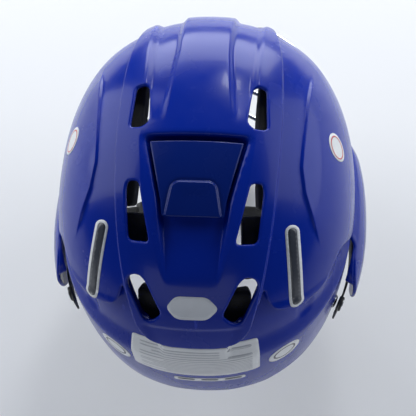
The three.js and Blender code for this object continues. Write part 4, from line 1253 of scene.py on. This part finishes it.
def chin_strap(name, node, start, end, side):
    lengths = np.r_[0, np.cumsum(np.linalg.norm(np.diff(CHIN_PATH, axis=0), axis=1))]
    lengths /= lengths[-1]
    tangents = unit(np.gradient(CHIN_PATH, axis=0))

    def point_at(s, t, face):
        part = start + (end - start) * s
        centre = np.stack([np.interp(part, lengths, CHIN_PATH[:, k]) for k in range(3)], -1)
        tangent = np.stack([np.interp(part, lengths, tangents[:, k]) for k in range(3)], -1)
        out = unit(np.cross(tangent, [0.0, 1.0, 0.0]))
        half = strap_thickness(t, 1.6, CHIN_WIDTH)
        height = 0.8 + (half if face else -half)
        across = np.array([0.0, 1.0, 0.0]) * ((t - 0.5) * CHIN_WIDTH)[..., None]
        points = centre + across + out * height[..., None]
        return points * [side, 1, 1]

    length = 145 * (end - start)
    band = grid_solid(name, max(20, int(length)), 10, point_at, WEBBING, (length, CHIN_WIDTH))
    return finish_piece(band, "front", [node])


def straps():
    for side, word in SIDES:
        cage_strap(side, word)
    chin_strap("chin_webbing_left", "chin_strap_left", 0, 0.458, 1)
    chin_strap("chin_webbing_right", "chin_strap_right", 0, 0.999, -1)
    chin_strap("chin_webbing_middle", "chin_strap_middle", 0.622, 0.999, 1)


# ---- stickers ----

def capsule(centre, length, width, lean, step=0.9):
    """An outline with round ends on the chart, leaning by an angle in degrees."""
    half = length / 2 - width / 2
    sweep = np.linspace(-np.pi / 2, np.pi / 2, 10)
    end = np.stack([width / 2 * np.cos(sweep) + half, width / 2 * np.sin(sweep)], -1)
    points = np.vstack([end, -end])
    turn = math.radians(lean)
    rotation = np.array([[math.cos(turn), math.sin(turn)], [-math.sin(turn), math.cos(turn)]])
    return resampled(points @ rotation + centre, step, closed=True)


def oval(centre, wide, high, count=44):
    angle = np.linspace(0, 2 * np.pi, count, endpoint=False)
    return np.stack([centre[0] + wide / 2 * np.cos(angle), centre[1] + high / 2 * np.sin(angle)], -1)


def sticker(name, loops, body, material, lift=0.16, spacing=1.8):
    surface = front_height if body == "front" else rear_height
    top = lambda chart: surface(chart_direction(chart)) + lift
    bottom = lambda chart: surface(chart_direction(chart)) + 0.03
    made = sheet_solid(name, loops, on_chart, top, bottom, material, spacing, rim=0.0)
    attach(made, body)
    return made


def stickers():
    """Generic stickers with no lettering: a label, certification ovals and two long decals."""
    label = rounded([[-36, 160.5], [37, 160.5], [37, 199], [-36, 199]], 3)
    sticker("rear_label", [label], "rear", WHITE_STICKER)
    bars = []
    for i in range(13):
        q = 164.5 + 2.5 * i
        reach = (32, 32, 25, 32, 32, 18)[i % 6]
        start = -32 if i > 2 else -14
        bars.append(rounded([[start, q], [reach, q], [reach, q + 0.9], [start, q + 0.9]], 0.4))
    for start, q in ((-32, 164.5), (-32, 171)):
        bars.append(rounded([[start, q], [start + 14, q], [start + 14, q + 2.2], [start, q + 2.2]], 0.6))
    for i, bar in enumerate(bars):
        sticker(f"rear_label_bar_{i}", [bar], "rear", GREY_PRINT, 0.22)
    strip = rounded([[-27, 205], [14, 205], [14, 211.5], [-27, 211.5]], 2)
    sticker("nape_strip", [strip], "rear", WHITE_STICKER)
    for i, p in enumerate((-20, -6.5, 7)):
        sticker(f"nape_strip_mark_{i}", [capsule((p, 208.2), 10, 3, 0)], "rear", DARK_PRINT, 0.22)
    for word, centre in (("left", (50, 191)), ("right", (-52, 192))):
        sticker("rear_oval_" + word, [oval(centre, 21, 24)], "rear", WHITE_STICKER)
        rings = [oval(centre, 15, 17), oval(centre, 12.5, 14.5)]
        sticker("rear_oval_ring_" + word, rings, "rear", DARK_PRINT, 0.22, 1)
    for word, side in (("left", 1), ("right", -1)):
        sticker("side_oval_" + word, [oval((99 * side, -3), 21, 32)], "front", WHITE_STICKER)
        rings = [oval((99 * side, -3), 17, 27), oval((99 * side, -3), 14.6, 24)]
        sticker("side_oval_ring_" + word, rings, "front", RED_PRINT, 0.22, 1)
        lean = 83 if side > 0 else 92
        centre = (57 * side, 107)
        sticker("decal_" + word, [capsule(centre, 60, 9.5, lean)], "front", WHITE_STICKER)
        sticker("decal_core_" + word, [capsule(centre, 56, 6, lean)], "front", DARK_PRINT, 0.22)
    mark = rounded([[-14, 124], [-8, 116.5], [8, 116.5], [13, 124], [8, 131.5], [-8, 131.5]], 3)
    sticker("tail_lozenge", [mark], "front", SILVER_PRINT)


# ---- stage, light and camera ----

def area_light(name, location, target, size, power, colour=(1, 1, 1)):
    data = bpy.data.lights.new(name, "AREA")
    data.shape, data.size, data.size_y = "RECTANGLE", size[0], size[1]
    data.energy, data.color = power, colour
    lamp = bpy.data.objects.new(name, data)
    lamp.location = location
    lamp.rotation_euler = (Vector(target) - Vector(location)).to_track_quat("-Z", "Y").to_euler()
    bpy.context.scene.collection.objects.link(lamp)


def studio():
    floor_z = cad_low.z - 0.0005
    size = 3.0
    corners = [(-size, -size), (size, -size), (size, size), (-size, size)]
    mesh = bpy.data.meshes.new("floor")
    mesh.from_pydata([(x, y, floor_z) for x, y in corners], [], [(0, 1, 2, 3)])
    floor = bpy.data.objects.new("floor", mesh)
    bpy.context.scene.collection.objects.link(floor)
    made = Finish("pale_floor", (0.86, 0.86, 0.87), 0.9)
    made.tint(made.levels(made.noise(3, 2), 0.4, 0.7, 0, 0.5), (0.84, 0.84, 0.85))
    mesh.materials.append(made.material)
    world = bpy.data.worlds.new("soft_room")
    world.use_nodes = True
    world.node_tree.nodes["Background"].inputs["Color"].default_value = (0.6, 0.74, 1, 1)
    world.node_tree.nodes["Background"].inputs["Strength"].default_value = 0.1
    bpy.context.scene.world = world
    cool = (0.94, 0.97, 1)
    area_light("front_key", (0, -1.5, 0.5), (0, 0, 0), (1.6, 0.8), 24, cool)
    area_light("front_window", (-0.22, -1.05, 1.05), (0, 0, 0), (0.24, 0.2), 3.2, cool)
    area_light("left_window", (-1.4, -0.6, 0.65), (0, 0, 0), (1.3, 1.6), 15, cool)
    area_light("right_window", (1.4, -0.6, 0.7), (0, 0, 0), (1.3, 1.6), 18, cool)
    area_light("back_fill", (0.2, 1.7, 0.5), (0, 0, 0), (1.8, 0.9), 5, cool)
    bpy.context.scene.view_settings.view_transform = "Standard"


def camera():
    """The camera stands behind and above the helmet, turned a little about its own axis."""
    place = Vector((-0.0470, 0.2991, 0.5480))
    forward = (Vector((0, 0, 0.030)) - place).normalized()
    right = forward.cross(Vector((0, 0, 1))).normalized()
    up = right.cross(forward)
    roll = math.radians(-6.157)
    side = right * math.cos(roll) + up * math.sin(roll)
    top = up * math.cos(roll) - right * math.sin(roll)
    focal, across, down = 881.28, 1.73, 31.5
    aim = (forward * focal + side * across - top * down).normalized()
    top = (top - aim * top.dot(aim)).normalized()
    side = aim.cross(top)
    data = bpy.data.cameras.new("camera")
    data.sensor_width, data.lens = 36, 36 * math.hypot(focal, down) / 416
    data.clip_start, data.clip_end = 0.01, 20
    eye = bpy.data.objects.new("camera", data)
    eye.matrix_world = Matrix.Translation(place) @ Matrix((side, top, -aim)).transposed().to_4x4()
    bpy.context.scene.collection.objects.link(eye)
    bpy.context.scene.camera = eye


front_shell()
rear_shell()
brow_lands()
arm_lips()
latch_ears()
latch_lever()
latch_pin()
clamp_parts()
liner()
for side, word in SIDES:
    ear_guard(side, word)
cage()
chin_parts()
screws()
snap_caps()
straps()
stickers()
studio()
camera()
